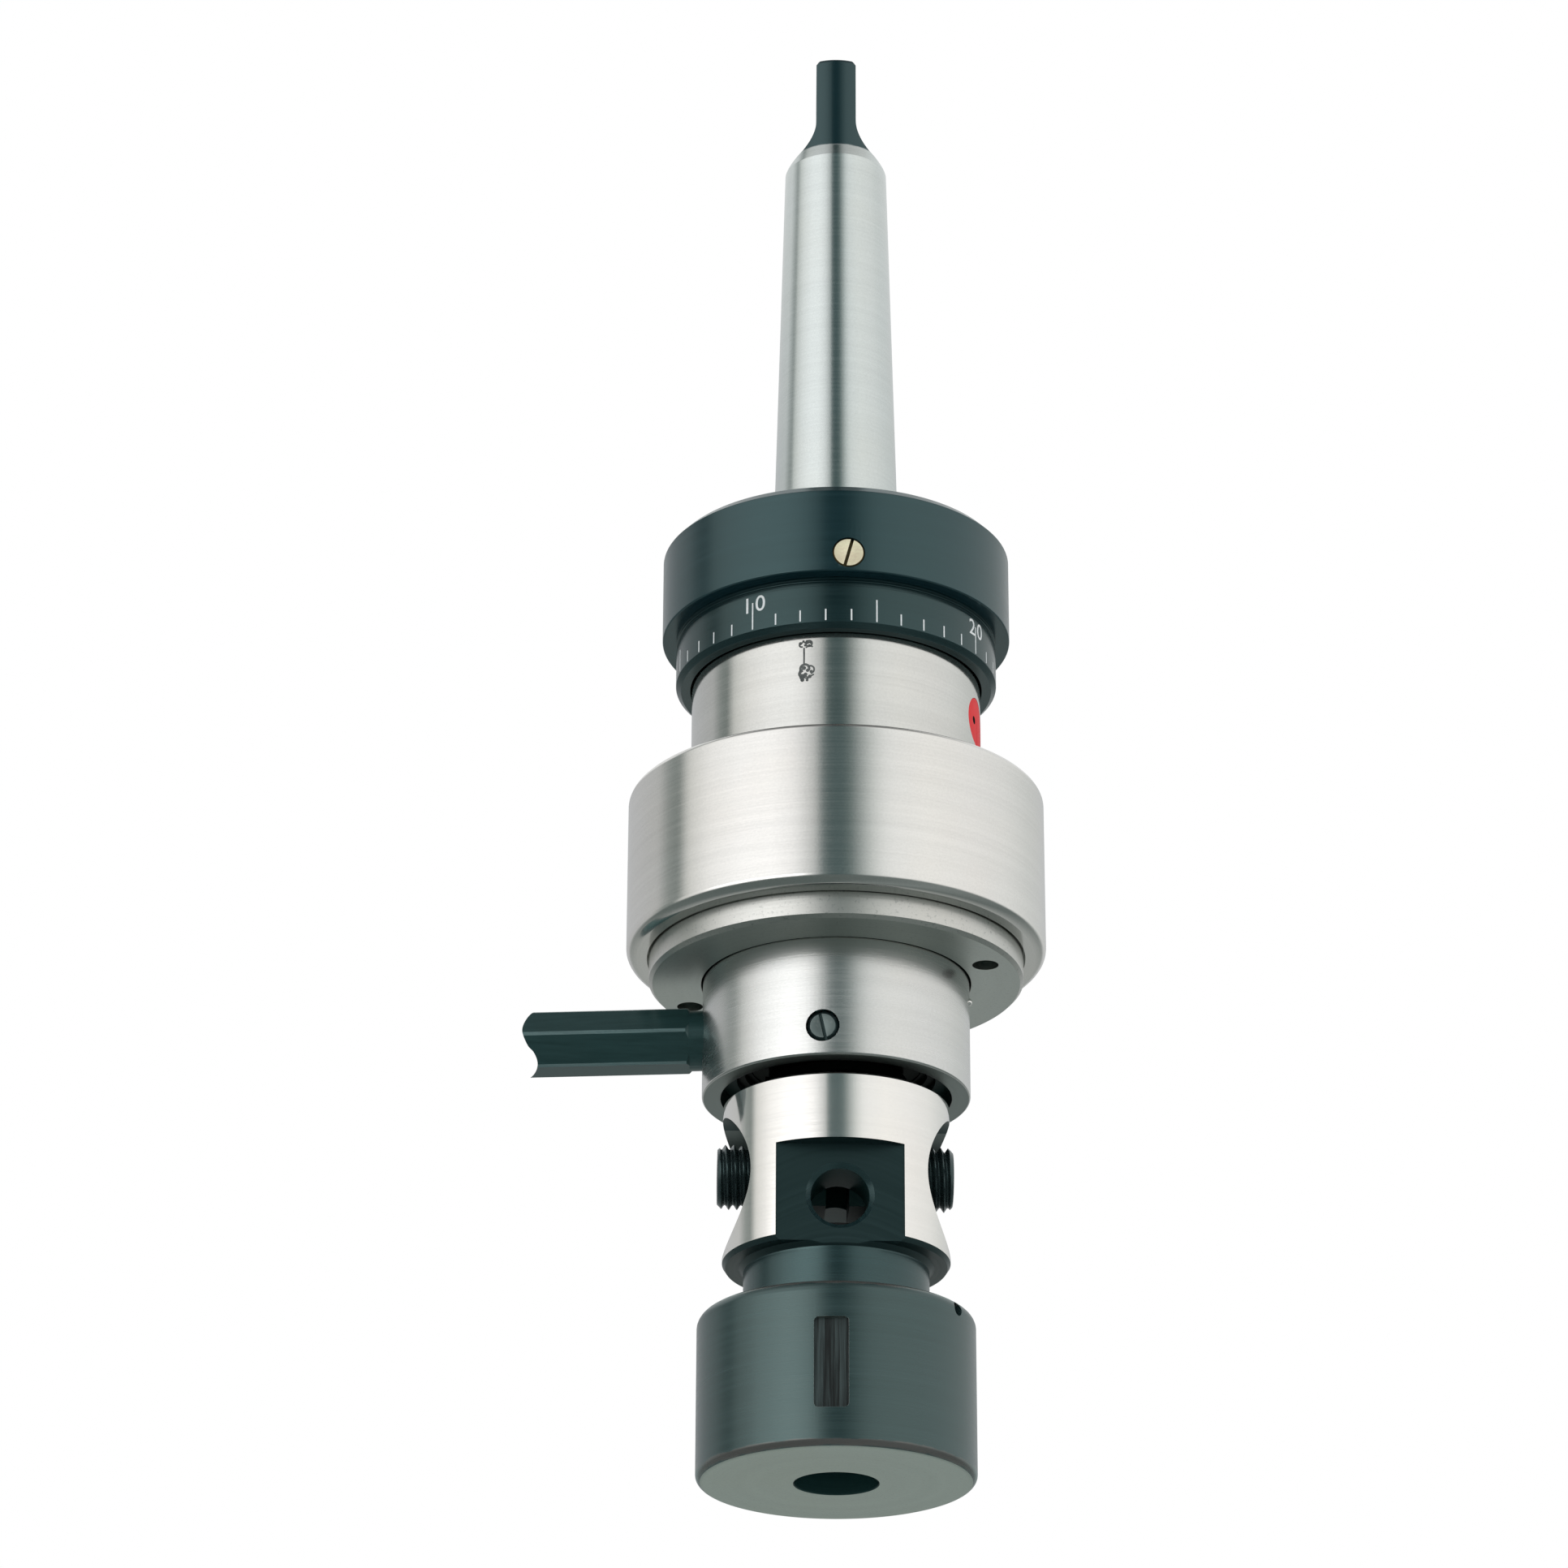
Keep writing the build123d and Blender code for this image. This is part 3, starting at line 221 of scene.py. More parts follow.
# Spindle, chuck and nut
pilot_radius = 6.0
spindle_radius = 7.5
key_slot_height = 30.3
key_slot_width = 3.1
key_slot_middle = 13.75
chuck_azimuth = 1.8
chuck_radius = 21.0
chuck_top = sleeve_bottom - 1.9
chuck_bottom = chuck_top - 31.0
chuck_top_chamfer = 0.4
chuck_chamfer = 0.9
chuck_chamfer_width = 0.6
spring_recess_inner = 9.5
spring_recess_radius = 15.5
spring_recess_depth = 3.0
nose_radius = 17.1
nose_chamfer = 0.6
nose_mouth_radius = 13.446
collet_top_radius = 8.6
ring_pitch = 0.6
ring_count = 15
ring_depth = 0.06
relief_end = chuck_bottom - 10.4
flat_offset = 17.2
flat_width = 23.4
ledge_z = chuck_top - 12.6
window_z = chuck_bottom + 8.6
window_radius = 5.35
spot_z = chuck_top - 16.1
spot_radius = 13.4
spot_floor = 15.8
window_lip = 0.9
window_sink = 1.0
chamber_width = 19.2
chamber_height = 18.6
chamber_depth = 12.2
jaw_screw_z = chuck_top - 13.5
jaw_screw_radius = 6.0
jaw_screw_start = 7.0
jaw_screw_ends = {"right": 21.5, "left": 22.0}
cross_hole_start = 3.0  # radius where the window and the jaws' holes begin
jaw_socket_flats = 6.0
jaw_socket_depth = 5.0
jaw_socket_mouth = 3.5
button_start = 4.05
button_end = 5.35
button_radius = 3.3
button_neck_radius = 1.9
collet_top = chuck_bottom + 6.2
nut_radius = 25.5
nut_opening = 7.65
nut_bottom_rounding = 1.5
nut_top_rounding = 2.2
nut_seat_radius = 14.25
nut_cone_end = 8.65
nut_cone_z = nut_bottom + 4.55
worn_band = 1.0  # height of the bright edge at the nut's top
nut_slot_azimuth = -2.6
nut_slot_z = nut_top - 15.5
nut_slot_width = 6.2
nut_slot_length = 16.6
nut_slot_round = 0.8
nut_slot_floor = nut_radius - 0.9
nut_hole_azimuth = 59.0
nut_hole_z = nut_top - 1.9
nut_hole_radius = 1.3
nut_hole_depth = 4.0

# Camera and floor
camera_place = (-9.93, -882.6, -441.5)
camera_tilt = 23.3  # upwards
camera_roll = 0.225
floor_size = 6000.0
floor_z = -1300.0


# Meshes


def rounded(outline, arc=5):
    """Turns (radius, height, rounding) corners of a closed outline into small arcs."""
    points = []
    count = len(outline)
    for i, corner in enumerate(outline):
        here = Vector(corner[:2])
        rounding = corner[2] if len(corner) > 2 else 0
        if not rounding:
            points.append(tuple(here))
            continue
        before = (Vector(outline[i - 1][:2]) - here).normalized()
        after = (Vector(outline[(i + 1) % count][:2]) - here).normalized()
        half = before.angle(after) / 2
        run = rounding / math.tan(half)
        middle = here + (before + after).normalized() * rounding / math.sin(half)
        start = here + before * run - middle
        turn = start.angle_signed(here + after * run - middle)
        for n in range(arc + 1):
            a = -turn * n / arc
            x = start.x * math.cos(a) - start.y * math.sin(a)
            y = start.x * math.sin(a) + start.y * math.cos(a)
            points.append(tuple(middle + Vector((x, y))))
    return points


def lathe(outline, steps=STEPS, arc=5):
    """The solid that a closed outline of (radius, height[, rounding]) sweeps round Z."""
    bm = bmesh.new()
    angles = [2 * math.pi * i / steps for i in range(steps)]
    rows = []
    for r, z in rounded(outline, arc):
        if r < 1e-6:
            rows.append([bm.verts.new((0, 0, z))])
        else:
            rows.append([bm.verts.new((r * math.cos(a), r * math.sin(a), z)) for a in angles])
    for lower, upper in zip(rows, rows[1:] + rows[:1]):
        if len(lower) == 1 and len(upper) == 1:
            continue
        for i in range(steps):
            j = (i + 1) % steps
            if len(lower) == 1:
                bm.faces.new((lower[0], upper[i], upper[j]))
            elif len(upper) == 1:
                bm.faces.new((lower[i], lower[j], upper[0]))
            else:
                bm.faces.new((lower[i], lower[j], upper[j], upper[i]))
    bmesh.ops.recalc_face_normals(bm, faces=bm.faces)
    return bm


def prism(points, depth, start=0.0):
    """A closed (x, y) outline drawn out along Z from start by depth."""
    bm = bmesh.new()
    low = [bm.verts.new((x, y, start)) for x, y in points]
    high = [bm.verts.new((x, y, start + depth)) for x, y in points]
    bm.faces.new(list(reversed(low)))
    bm.faces.new(high)
    for i in range(len(points)):
        j = (i + 1) % len(points)
        bm.faces.new((low[i], low[j], high[j], high[i]))
    bmesh.ops.recalc_face_normals(bm, faces=bm.faces)
    return bm


def rectangle(width, height, x=0.0, y=0.0, rounding=0.0, steps=5):
    """The outline of a rectangle, with rounded corners if asked."""
    points = []
    for n, (sx, sy) in enumerate([(-1, -1), (1, -1), (1, 1), (-1, 1)]):
        cx = x + sx * (width / 2 - rounding)
        cy = y + sy * (height / 2 - rounding)
        if not rounding:
            points.append((cx, cy))
            continue
        for k in range(steps + 1):
            a = math.pi + n * math.pi / 2 + k / steps * math.pi / 2
            points.append((cx + rounding * math.cos(a), cy + rounding * math.sin(a)))
    return points


def ngon(radius, sides):
    """The corners of a regular polygon, or of a circle where there are many."""
    angles = [2 * math.pi * n / sides for n in range(sides)]
    return [(radius * math.cos(a), radius * math.sin(a)) for a in angles]


def smooth_line(points, per=8):
    """A smooth curve through the points."""
    ends = [points[0]] + points + [points[-1]]
    line = []
    for a, b, c, d in zip(ends, ends[1:], ends[2:], ends[3:]):
        for k in range(per):
            t = k / per
            weights = (
                0.5 * (-t + 2 * t * t - t**3),
                0.5 * (2 - 5 * t * t + 3 * t**3),
                0.5 * (t + 4 * t * t - 3 * t**3),
                0.5 * (-t * t + t**3),
            )
            line.append(tuple(sum(w * p[n] for w, p in zip(weights, (a, b, c, d))) for n in (0, 1)))
    return line + [points[-1]]


def stroke(points, width):
    """The outline of a line of this width along the points."""
    left, right = [], []
    for i, point in enumerate(points):
        here = Vector(point)
        ahead = Vector(points[min(i + 1, len(points) - 1)])
        behind = Vector(points[max(i - 1, 0)])
        way = (ahead - behind).normalized()
        side = Vector((-way.y, way.x)) * width / 2
        left.append(tuple(here + side))
        right.append(tuple(here - side))
    return right + list(reversed(left))


def outward(azimuth, radius, height):
    """The frame of a place on the part's side: x to the right, y up, z outwards."""
    a = math.radians(azimuth)
    right = Vector((math.cos(a), math.sin(a), 0))
    out = Vector((math.sin(a), -math.cos(a), 0))
    place = Matrix((right, Vector((0, 0, 1)), out)).transposed().to_4x4()
    place.translation = out * radius + Vector((0, 0, height))
    return place


def about_z(degrees):
    return Matrix.Rotation(math.radians(degrees), 4, "Z")


def moved(bm, place):
    bm.transform(place)
    return bm


def bore(radius, depth, azimuth, start, height, sides=48):
    """A round bar that points outwards from this radius."""
    return moved(prism(ngon(radius, sides), depth, start), outward(azimuth, 0, height))


def joined(parts):
    """One mesh from several that don't touch."""
    whole = bmesh.new()
    for part in parts:
        step = bpy.data.meshes.new("step")
        part.to_mesh(step)
        whole.from_mesh(step)
        part.free()
        bpy.data.meshes.remove(step)
    return whole


def raw(name, bm):
    """An object that holds this mesh, in metres."""
    mesh = bpy.data.meshes.new(name)
    bm.transform(Matrix.Scale(MM, 4))
    bm.to_mesh(mesh)
    bm.free()
    obj = bpy.data.objects.new(name, mesh)
    bpy.context.scene.collection.objects.link(obj)
    return obj


def settle(obj):
    """Applies the object's modifiers."""
    shape = obj.evaluated_get(bpy.context.evaluated_depsgraph_get())
    mesh = bpy.data.meshes.new_from_object(shape)
    old = obj.data
    obj.modifiers.clear()
    obj.data = mesh
    bpy.data.meshes.remove(old)


def carve(obj, cutters, how="DIFFERENCE"):
    """Cuts or adds each mesh in turn."""
    for bm in cutters:
        tool = raw("tool", bm)
        step = obj.modifiers.new("step", "BOOLEAN")
        step.operation = how
        step.solver = "EXACT"
        step.object = tool
        settle(obj)
        bpy.data.objects.remove(tool)


def finish_piece(obj, body, looks, replaces=(), edge=0.0, sharp=32, choose=None):
    """Rounds the edges, sets the shading and the materials, and makes the piece ride.

    Where there are several looks, choose gives each face's number from its middle, in
    millimetres, and its normal.
    """
    if edge:
        bevel = obj.modifiers.new("edges", "BEVEL")
        bevel.width = edge * MM
        bevel.segments = 2
        bevel.limit_method = "ANGLE"
        bevel.angle_limit = math.radians(sharp)
        settle(obj)
    mesh = obj.data
    mesh.shade_smooth()
    mesh.set_sharp_from_angle(angle=math.radians(sharp))
    weighted = obj.modifiers.new("normals", "WEIGHTED_NORMAL")
    weighted.keep_sharp = True
    mesh.materials.clear()
    for look in looks:
        mesh.materials.append(look)
    if choose:
        for face in mesh.polygons:
            face.material_index = choose(face.center / MM, face.normal)
    if replaces:
        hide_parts(*replaces)
    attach(obj, body)


# Materials


class Nodes:
    """Adds nodes to a material's or a world's tree and links their inputs."""

    def __init__(self, owner):
        owner.use_nodes = True
        self.tree = owner.node_tree
        self.tree.nodes.clear()

    def add(self, kind, inputs=None, **settings):
        node = self.tree.nodes.new(kind)
        for key, value in settings.items():
            setattr(node, key, value)
        for key, value in (inputs or {}).items():
            if isinstance(value, bpy.types.NodeSocket):
                self.tree.links.new(value, node.inputs[key])
            else:
                node.inputs[key].default_value = value
        return node

    def math(self, operation, *values):
        node = self.add("ShaderNodeMath", dict(enumerate(values)), operation=operation)
        return node.outputs[0]

    def position(self):
        return self.add("ShaderNodeTexCoord").outputs["Object"]

    def split(self, vector):
        return self.add("ShaderNodeSeparateXYZ", {0: vector}).outputs[:]

    def scaled(self, vector, scale):
        return self.add("ShaderNodeMapping", {"Vector": vector, "Scale": scale}).outputs[0]

    def noise(self, vector, scale, detail=3.0, rough=0.55):
        inputs = {"Vector": vector, "Scale": scale, "Detail": detail, "Roughness": rough}
        return self.add("ShaderNodeTexNoise", inputs).outputs[0]

    def span(self, value, low, high, to_low=0.0, to_high=1.0):
        inputs = {0: value, 1: low, 2: high, 3: to_low, 4: to_high}
        return self.add("ShaderNodeMapRange", inputs).outputs[0]

    def mix(self, factor, a, b, how="MIX"):
        inputs = {0: factor, 6: a, 7: b}
        node = self.add("ShaderNodeMix", inputs, data_type="RGBA", blend_type=how)
        return node.outputs[2]

    def ramp(self, value, stops):
        node = self.add("ShaderNodeValToRGB", {"Fac": value})
        elements = node.color_ramp.elements
        for k, (at, color) in enumerate(stops):
            element = elements[k] if k < 2 else elements.new(at)
            element.position = at
            element.color = color
        return node.outputs[0]

    def bump(self, height, strength, distance=0.02):
        inputs = {"Height": height, "Strength": strength, "Distance": distance * MM}
        return self.add("ShaderNodeBump", inputs).outputs[0]

    def turned(self, across, along):
        """Coordinates that run with a tool's marks round Z, on walls and faces alike."""
        x, y, z = self.split(self.position())
        square = self.math("ADD", self.math("POWER", x, 2.0), self.math("POWER", y, 2.0))
        level = self.math("ADD", self.math("SQRT", square), z)
        sides = (
            self.math("MULTIPLY", x, along),
            self.math("MULTIPLY", y, along),
            self.math("MULTIPLY", level, across),
        )
        return self.add("ShaderNodeCombineXYZ", dict(enumerate(sides))).outputs[0]

    def principled(self, inputs):
        shader = self.add("ShaderNodeBsdfPrincipled", inputs).outputs[0]
        self.add("ShaderNodeOutputMaterial", {"Surface": shader})


def rgb(r, g, b):
    return (r, g, b, 1.0)


def shade(color, factor):
    return rgb(*[min(1.0, c * factor) for c in color])


def bare_metal(
    name,
    color,
    rough,
    marks=0.3,
    pitch=2300.0,
    spots=0.0,
    spread=0.05,
    metallic=1.0,
    black_above=None,
):
    """Turned or ground metal: fine marks round the axis, a little uneven in tone.

    Above the height black_above, in millimetres, the metal is blackened.
    """
    mat = bpy.data.materials.new(name)
    n = Nodes(mat)
    place = n.position()
    lines = n.noise(n.turned(pitch, 22.0), 1.0, 4.0, 0.65)
    wide = n.noise(n.turned(pitch / 7, 9.0), 1.0, 2.0)
    patches = n.noise(place, 42.0)
    grain = n.noise(place, 2600.0, 2.0)
    tone = n.math("DIVIDE", n.math("ADD", n.math("ADD", lines, wide), grain), 3.0)
    base = n.mix(n.span(tone, 0.38, 0.62), shade(color, 1 - spread), shade(color, 1 + spread))
    warm = n.mix(1.0, base, rgb(1.0, 0.98, 0.955), "MULTIPLY")
    base = n.mix(n.span(patches, 0.45, 0.75, 0.0, 0.6), base, warm)
    if spots:
        pits = n.noise(place, 1500.0, 3.0, 0.7)
        base = n.mix(n.span(pits, 0.58, 0.7, 0.0, spots), base, rgb(0.28, 0.30, 0.29))
    uneven = n.math("ADD", n.span(lines, 0.3, 0.7, -0.03, 0.03), rough)
    inputs = {
        "Base Color": base,
        "Metallic": metallic,
        "Roughness": uneven,
        "Normal": n.bump(n.math("ADD", lines, n.math("MULTIPLY", grain, 0.5)), marks),
    }
    if black_above:
        wobble = n.span(n.noise(place, 320.0), 0.3, 0.7, -0.0001, 0.0001)
        height = n.math("ADD", n.split(place)[2], wobble)
        black = n.span(height, (black_above - 0.15) * MM, (black_above + 0.15) * MM)
        inputs["Base Color"] = n.mix(black, base, rgb(0.005, 0.019, 0.024))
        inputs["Metallic"] = n.math("SUBTRACT", 1.0, black)
        inputs["IOR"] = 1.7
        inputs["Specular Tint"] = n.mix(black, rgb(1, 1, 1), rgb(0.7, 1.0, 1.0))
    n.principled(inputs)
    return mat


def oxide(name, color, rough, ior, tint=(0.66, 1.0, 1.0), worn=None, bands=(), along=None):
    """Blackened steel. Bands are heights, in millimetres, between which the worn tone shows."""
    mat = bpy.data.materials.new(name)
    n = Nodes(mat)
    place = n.position()
    way = n.scaled(place, along) if along else n.turned(1700.0, 18.0)
    lines = n.noise(way, 1.0, 4.0, 0.6)
    clouds = n.noise(place, 70.0)
    grain = n.noise(place, 3000.0, 2.0)
    light = rgb(*[c * 1.35 + 0.002 for c in color])
    base = n.mix(n.span(lines, 0.35, 0.7), rgb(*color), light)
    deep = n.mix(1.0, base, rgb(0.75, 1.0, 1.0), "MULTIPLY")
    base = n.mix(n.span(clouds, 0.4, 0.75, 0.0, 0.5), base, deep)
    metal = 0.0
    if bands:
        z = n.split(place)[2]
        edge = n.math("ADD", z, n.span(n.noise(place, 260.0), 0.3, 0.7, -0.0002, 0.0002))
        mask = 0.0
        for low, high in bands:
            rise = n.span(edge, low * MM, (low + 0.3) * MM)
            fall = n.span(edge, (high - 0.3) * MM, high * MM, 1.0, 0.0)
            mask = n.math("MAXIMUM", mask, n.math("MULTIPLY", rise, fall))
        mask = n.math("MULTIPLY", mask, n.span(lines, 0.2, 0.8, 0.6, 1.0))
        base = n.mix(mask, base, rgb(*worn))
        metal = n.math("MULTIPLY", mask, 0.6)
    inputs = {
        "Base Color": base,
        "Metallic": metal,
        "Roughness": n.span(lines, 0.25, 0.75, rough - 0.03, rough + 0.05),
        "IOR": ior,
        "Specular Tint": rgb(*tint),
        "Normal": n.bump(n.math("ADD", lines, n.math("MULTIPLY", grain, 0.6)), 0.22),
    }
    n.principled(inputs)
    return mat


def plain_finish(name, color, other, rough, metallic=0.0, bump=0.2, specular=0.5):
    """A moulded, painted or etched surface with two tones and a fine grain."""
    mat = bpy.data.materials.new(name)
    n = Nodes(mat)
    place = n.position()
    clouds = n.noise(place, 75.0)
    grain = n.noise(place, 1800.0)
    base = n.mix(n.span(n.math("ADD", clouds, grain), 0.75, 1.25), rgb(*color), rgb(*other))
    inputs = {
        "Base Color": base,
        "Metallic": metallic,
        "Roughness": n.span(grain, 0.25, 0.75, rough - 0.05, rough + 0.08),
        "Specular IOR Level": specular,
        "Normal": n.bump(grain, bump),
    }
    n.principled(inputs)
    return mat


def scratched(name, dark, light, rough):
    """A milled floor with deep scratches up and down it."""
    mat = bpy.data.materials.new(name)
    n = Nodes(mat)
    place = n.position()
    fine = n.noise(n.scaled(place, (3200.0, 3200.0, 70.0)), 1.0, 4.0, 0.7)
    broad = n.noise(n.scaled(place, (900.0, 900.0, 40.0)), 1.0, 2.0)
    depth = n.math("MULTIPLY", n.math("ADD", fine, broad), 0.5)
    inputs = {
        "Base Color": n.mix(n.span(depth, 0.42, 0.64), rgb(*dark), rgb(*light)),
        "Metallic": 0.3,
        "Roughness": n.span(fine, 0.3, 0.7, rough - 0.05, rough + 0.08),
        "IOR": 1.6,
        "Normal": n.bump(depth, 0.9),
    }
    n.principled(inputs)
    return mat


shank_steel = bare_metal("shank_steel", (0.655, 0.70, 0.69), 0.15, black_above=tang_root - 0.1)
neck_steel = bare_metal("neck_steel", (0.70, 0.70, 0.675), 0.13, marks=0.2)
drum_steel = bare_metal("drum_steel", (0.80, 0.79, 0.765), 0.14, marks=0.22)
sleeve_steel = bare_metal("sleeve_steel", (0.72, 0.725, 0.71), 0.26, marks=0.35)
# The sleeve's lower face: a darker copy of the sleeve's steel, painted shade.
shaded_sleeve_foot = bare_metal("shaded_sleeve_foot", (0.24, 0.28, 0.27), 0.36)
face_steel = bare_metal("face_steel", (0.56, 0.60, 0.57), 0.36, marks=0.5, spots=0.35)
retainer_steel = bare_metal("retainer_steel", (0.66, 0.66, 0.63), 0.33, marks=0.8, spots=0.5)
# Polished steel for the chuck and the ball oiler; on the drum's inner lower edge and round the set screw
# it is a painted highlight.
bright_steel_and_highlight = bare_metal("bright_steel_and_highlight", (0.90, 0.885, 0.855), 0.10, 0.10, 3000.0, 0.0, 0.025, 0.95)
spot_steel = bare_metal("spot_steel", (0.19, 0.22, 0.215), 0.34)
black_oxide = oxide("black_oxide", (0.003, 0.016, 0.021), 0.19, 1.75)
ring_oxide = oxide("ring_oxide", (0.003, 0.012, 0.014), 0.19, 1.7)
chuck_oxide = oxide("chuck_oxide", (0.005, 0.014, 0.015), 0.34, 1.6)
neck_oxide = oxide("neck_oxide", (0.010, 0.024, 0.026), 0.24, 1.75)
arm_oxide = oxide("arm_oxide", (0.012, 0.034, 0.034), 0.30, 1.55, along=(30.0, 1500.0, 1500.0))
screw_oxide = oxide("screw_oxide", (0.010, 0.016, 0.017), 0.26, 1.65)
jaw_oxide = oxide("jaw_oxide", (0.006, 0.024, 0.022), 0.45, 1.35)
# Dark oxide for inner walls, bores and holes: painted shade.
painted_shade_inside = oxide("painted_shade_inside", (0.006, 0.026, 0.025), 0.45, 1.4)
nut_oxide = oxide(
    "nut_oxide",
    (0.015, 0.030, 0.031),
    0.23,
    1.82,
    tint=(0.74, 1.0, 0.97),
    worn=(0.15, 0.138, 0.13),
    bands=[(nut_top - worn_band, nut_top + 0.2), (nut_bottom + 0.1, nut_bottom + 1.5)],
)
nut_face = bare_metal("nut_face", (0.56, 0.645, 0.59), 0.40, marks=0.5, spots=0.25)
nut_slot_metal = scratched("nut_slot_metal", (0.003, 0.006, 0.006), (0.060, 0.088, 0.088), 0.34)
# The arm's edges: lighter oxide, partly wear and partly a painted highlight.
arm_edge = oxide("arm_edge", (0.075, 0.115, 0.115), 0.26, 1.6, along=(30.0, 1500.0, 1500.0))
# Darkened steel for inner parts that show through gaps: painted shade.
painted_shade_steel = bare_metal("painted_shade_steel", (0.045, 0.052, 0.050), 0.5)
worn_edge = bare_metal("worn_edge", (0.42, 0.44, 0.42), 0.35, marks=0.5)
brass = bare_metal("brass", (0.98, 0.85, 0.60), 0.32, marks=0.6, spread=0.12, metallic=0.3)
# Dark brass for the lock screw's side and slot: painted shade.
shaded_brass_rim = bare_metal("shaded_brass_rim", (0.13, 0.10, 0.045), 0.40, marks=0.4, metallic=0.8)
set_face = bare_metal("set_face", (0.16, 0.20, 0.195), 0.42, marks=1.0, spots=0.7, metallic=0.7)
red_plastic = plain_finish("red_plastic", (0.78, 0.028, 0.036), (0.86, 0.045, 0.05), 0.45, specular=0.08)
white_paint = plain_finish("white_paint", (0.74, 0.78, 0.78), (0.9, 0.92, 0.92), 0.5, bump=0.3)
etched = plain_finish("etched", (0.05, 0.06, 0.06), (0.16, 0.17, 0.165), 0.6, metallic=0.4, bump=0.6)
rubber = plain_finish("rubber", (0.018, 0.018, 0.019), (0.032, 0.032, 0.033), 0.7, bump=0.4)
machined_steel = bare_metal("machined_steel", (0.52, 0.53, 0.52), 0.32, marks=0.5)
bearing_steel = bare_metal("bearing_steel", (0.66, 0.67, 0.68), 0.18, marks=0.15)
spring_steel = bare_metal("spring_steel", (0.24, 0.25, 0.27), 0.36, marks=0.4)


# Shank: taper, tang, splines and journal
shank = raw("shank", lathe([
    (0, arbor_bottom),
    (arbor_bearing_bore, arbor_bottom, 0.4),
    (arbor_bearing_bore, arbor_bearing_top),
    (arbor_shoulder_radius, arbor_bearing_top, 0.2),
    (arbor_shoulder_radius, clutch_seat),
    (spline_root, clutch_seat),
    (spline_root, spline_top, 0.3),
    (arbor_radius, spline_top),
    (arbor_radius, shank_bottom, 0.2),
    (gauge_radius - shank_bottom * taper, shank_bottom, 0.2),
    (gauge_radius - shoulder * taper, shoulder, 0.5),
    (tang_radius, tang_root, 0.3),
    (tang_radius, tang_end, 1.3),
    (0, tang_end),
], arc=7))
spline_pair = rectangle(2 * spline_tip, spline_width)
for n in range(3):
    splines = prism(spline_pair, spline_top - clutch_seat, clutch_seat)
    carve(shank, [moved(splines, about_z(60 * n))], "UNION")


def tang_cut(side):
    """What is milled off one side of the tang: a flat that runs out in an arc."""
    flat = side * tang_half
    end_turn = math.acos(1 - (tang_foot_half - tang_half) / tang_run_out)
    start = tang_root + tang_run_out * math.sin(end_turn)
    turns = [end_turn * n / 12 for n in range(13)]
    bend = [
        (flat + side * tang_run_out * (1 - math.cos(a)), start - tang_run_out * math.sin(a))
        for a in turns
    ]
    top = tang_end + tang_tip_chamfer
    low = shoulder - 0.2
    foot = [(side * tang_foot_reach, low), (side * tang_clear, low), (side * tang_clear, top)]
    tip = [(flat - 2 * side, top), (flat, tang_end - tang_tip_chamfer)]
    cut = prism(tip + bend + foot, 2 * tang_clear, -tang_clear)
    return moved(cut, Matrix.Rotation(math.pi / 2, 4, "X"))


carve(shank, [tang_cut(-1), tang_cut(1)])
finish_piece(shank, "arbor", [shank_steel], ["arbor"], edge=0.22)

# Torque collar with its lock screw
collar = raw("collar", lathe([
    (collar_bore, collar_top, 0.3),
    (collar_bore, collar_top - collar_web, 0.2),
    (tube_radius + thread_play, collar_top - collar_web),
    (tube_radius + thread_play, spigot_end, 0.2),
    (spigot_radius, spigot_end, 0.2),
    (spigot_radius, collar_bottom),
    (collar_radius, collar_bottom, 0.3),
    (collar_radius, collar_top - collar_chamfer, 0.25),
    (collar_radius - collar_chamfer, collar_top, 0.25),
]))
carve(collar, [bore(lock_radius + screw_play, 12.0, lock_azimuth, lock_hole_start, lock_z)])
finish_piece(collar, "torque_collar", [black_oxide], ["torque_collar"], edge=0.12)


def slotted_screw(name, radius, face, length, place, tilt):
    """A slotted screw with its head's face, of radius face, at this place."""
    screw = raw(name, moved(lathe([
        (0, -length),
        (radius - screw_chamfer, -length),
        (radius, screw_chamfer - length),
        (radius, face - radius, 0.05),
        (face, 0, 0.1),
        (0, 0),
    ], 56), place))
    slot = prism(rectangle(screw_slot_width, 3 * radius), 3.0, -screw_slot_depth)
    carve(screw, [moved(slot, place @ about_z(tilt))])
    return screw


def on_face(place):
    """Tells the head's face, look 0, from its rim and slot, look 1."""
    origin = place.translation.copy()
    out = place.col[2].to_3d()
    return lambda at, normal: int(normal.dot(out) < 0.9 or (at - origin).dot(out) < -0.3)


lock_place = outward(lock_azimuth, collar_radius - 0.05, lock_z)
lock_screw = slotted_screw(
    "lock_screw", lock_radius, lock_face_radius, lock_length, lock_place, lock_tilt
)
# The side and slot get dark brass as painted shade.
finish_piece(
    lock_screw, "torque_collar", [brass, shaded_brass_rim], ["collar_lock_screw"],
    edge=0.04, choose=on_face(lock_place),
)

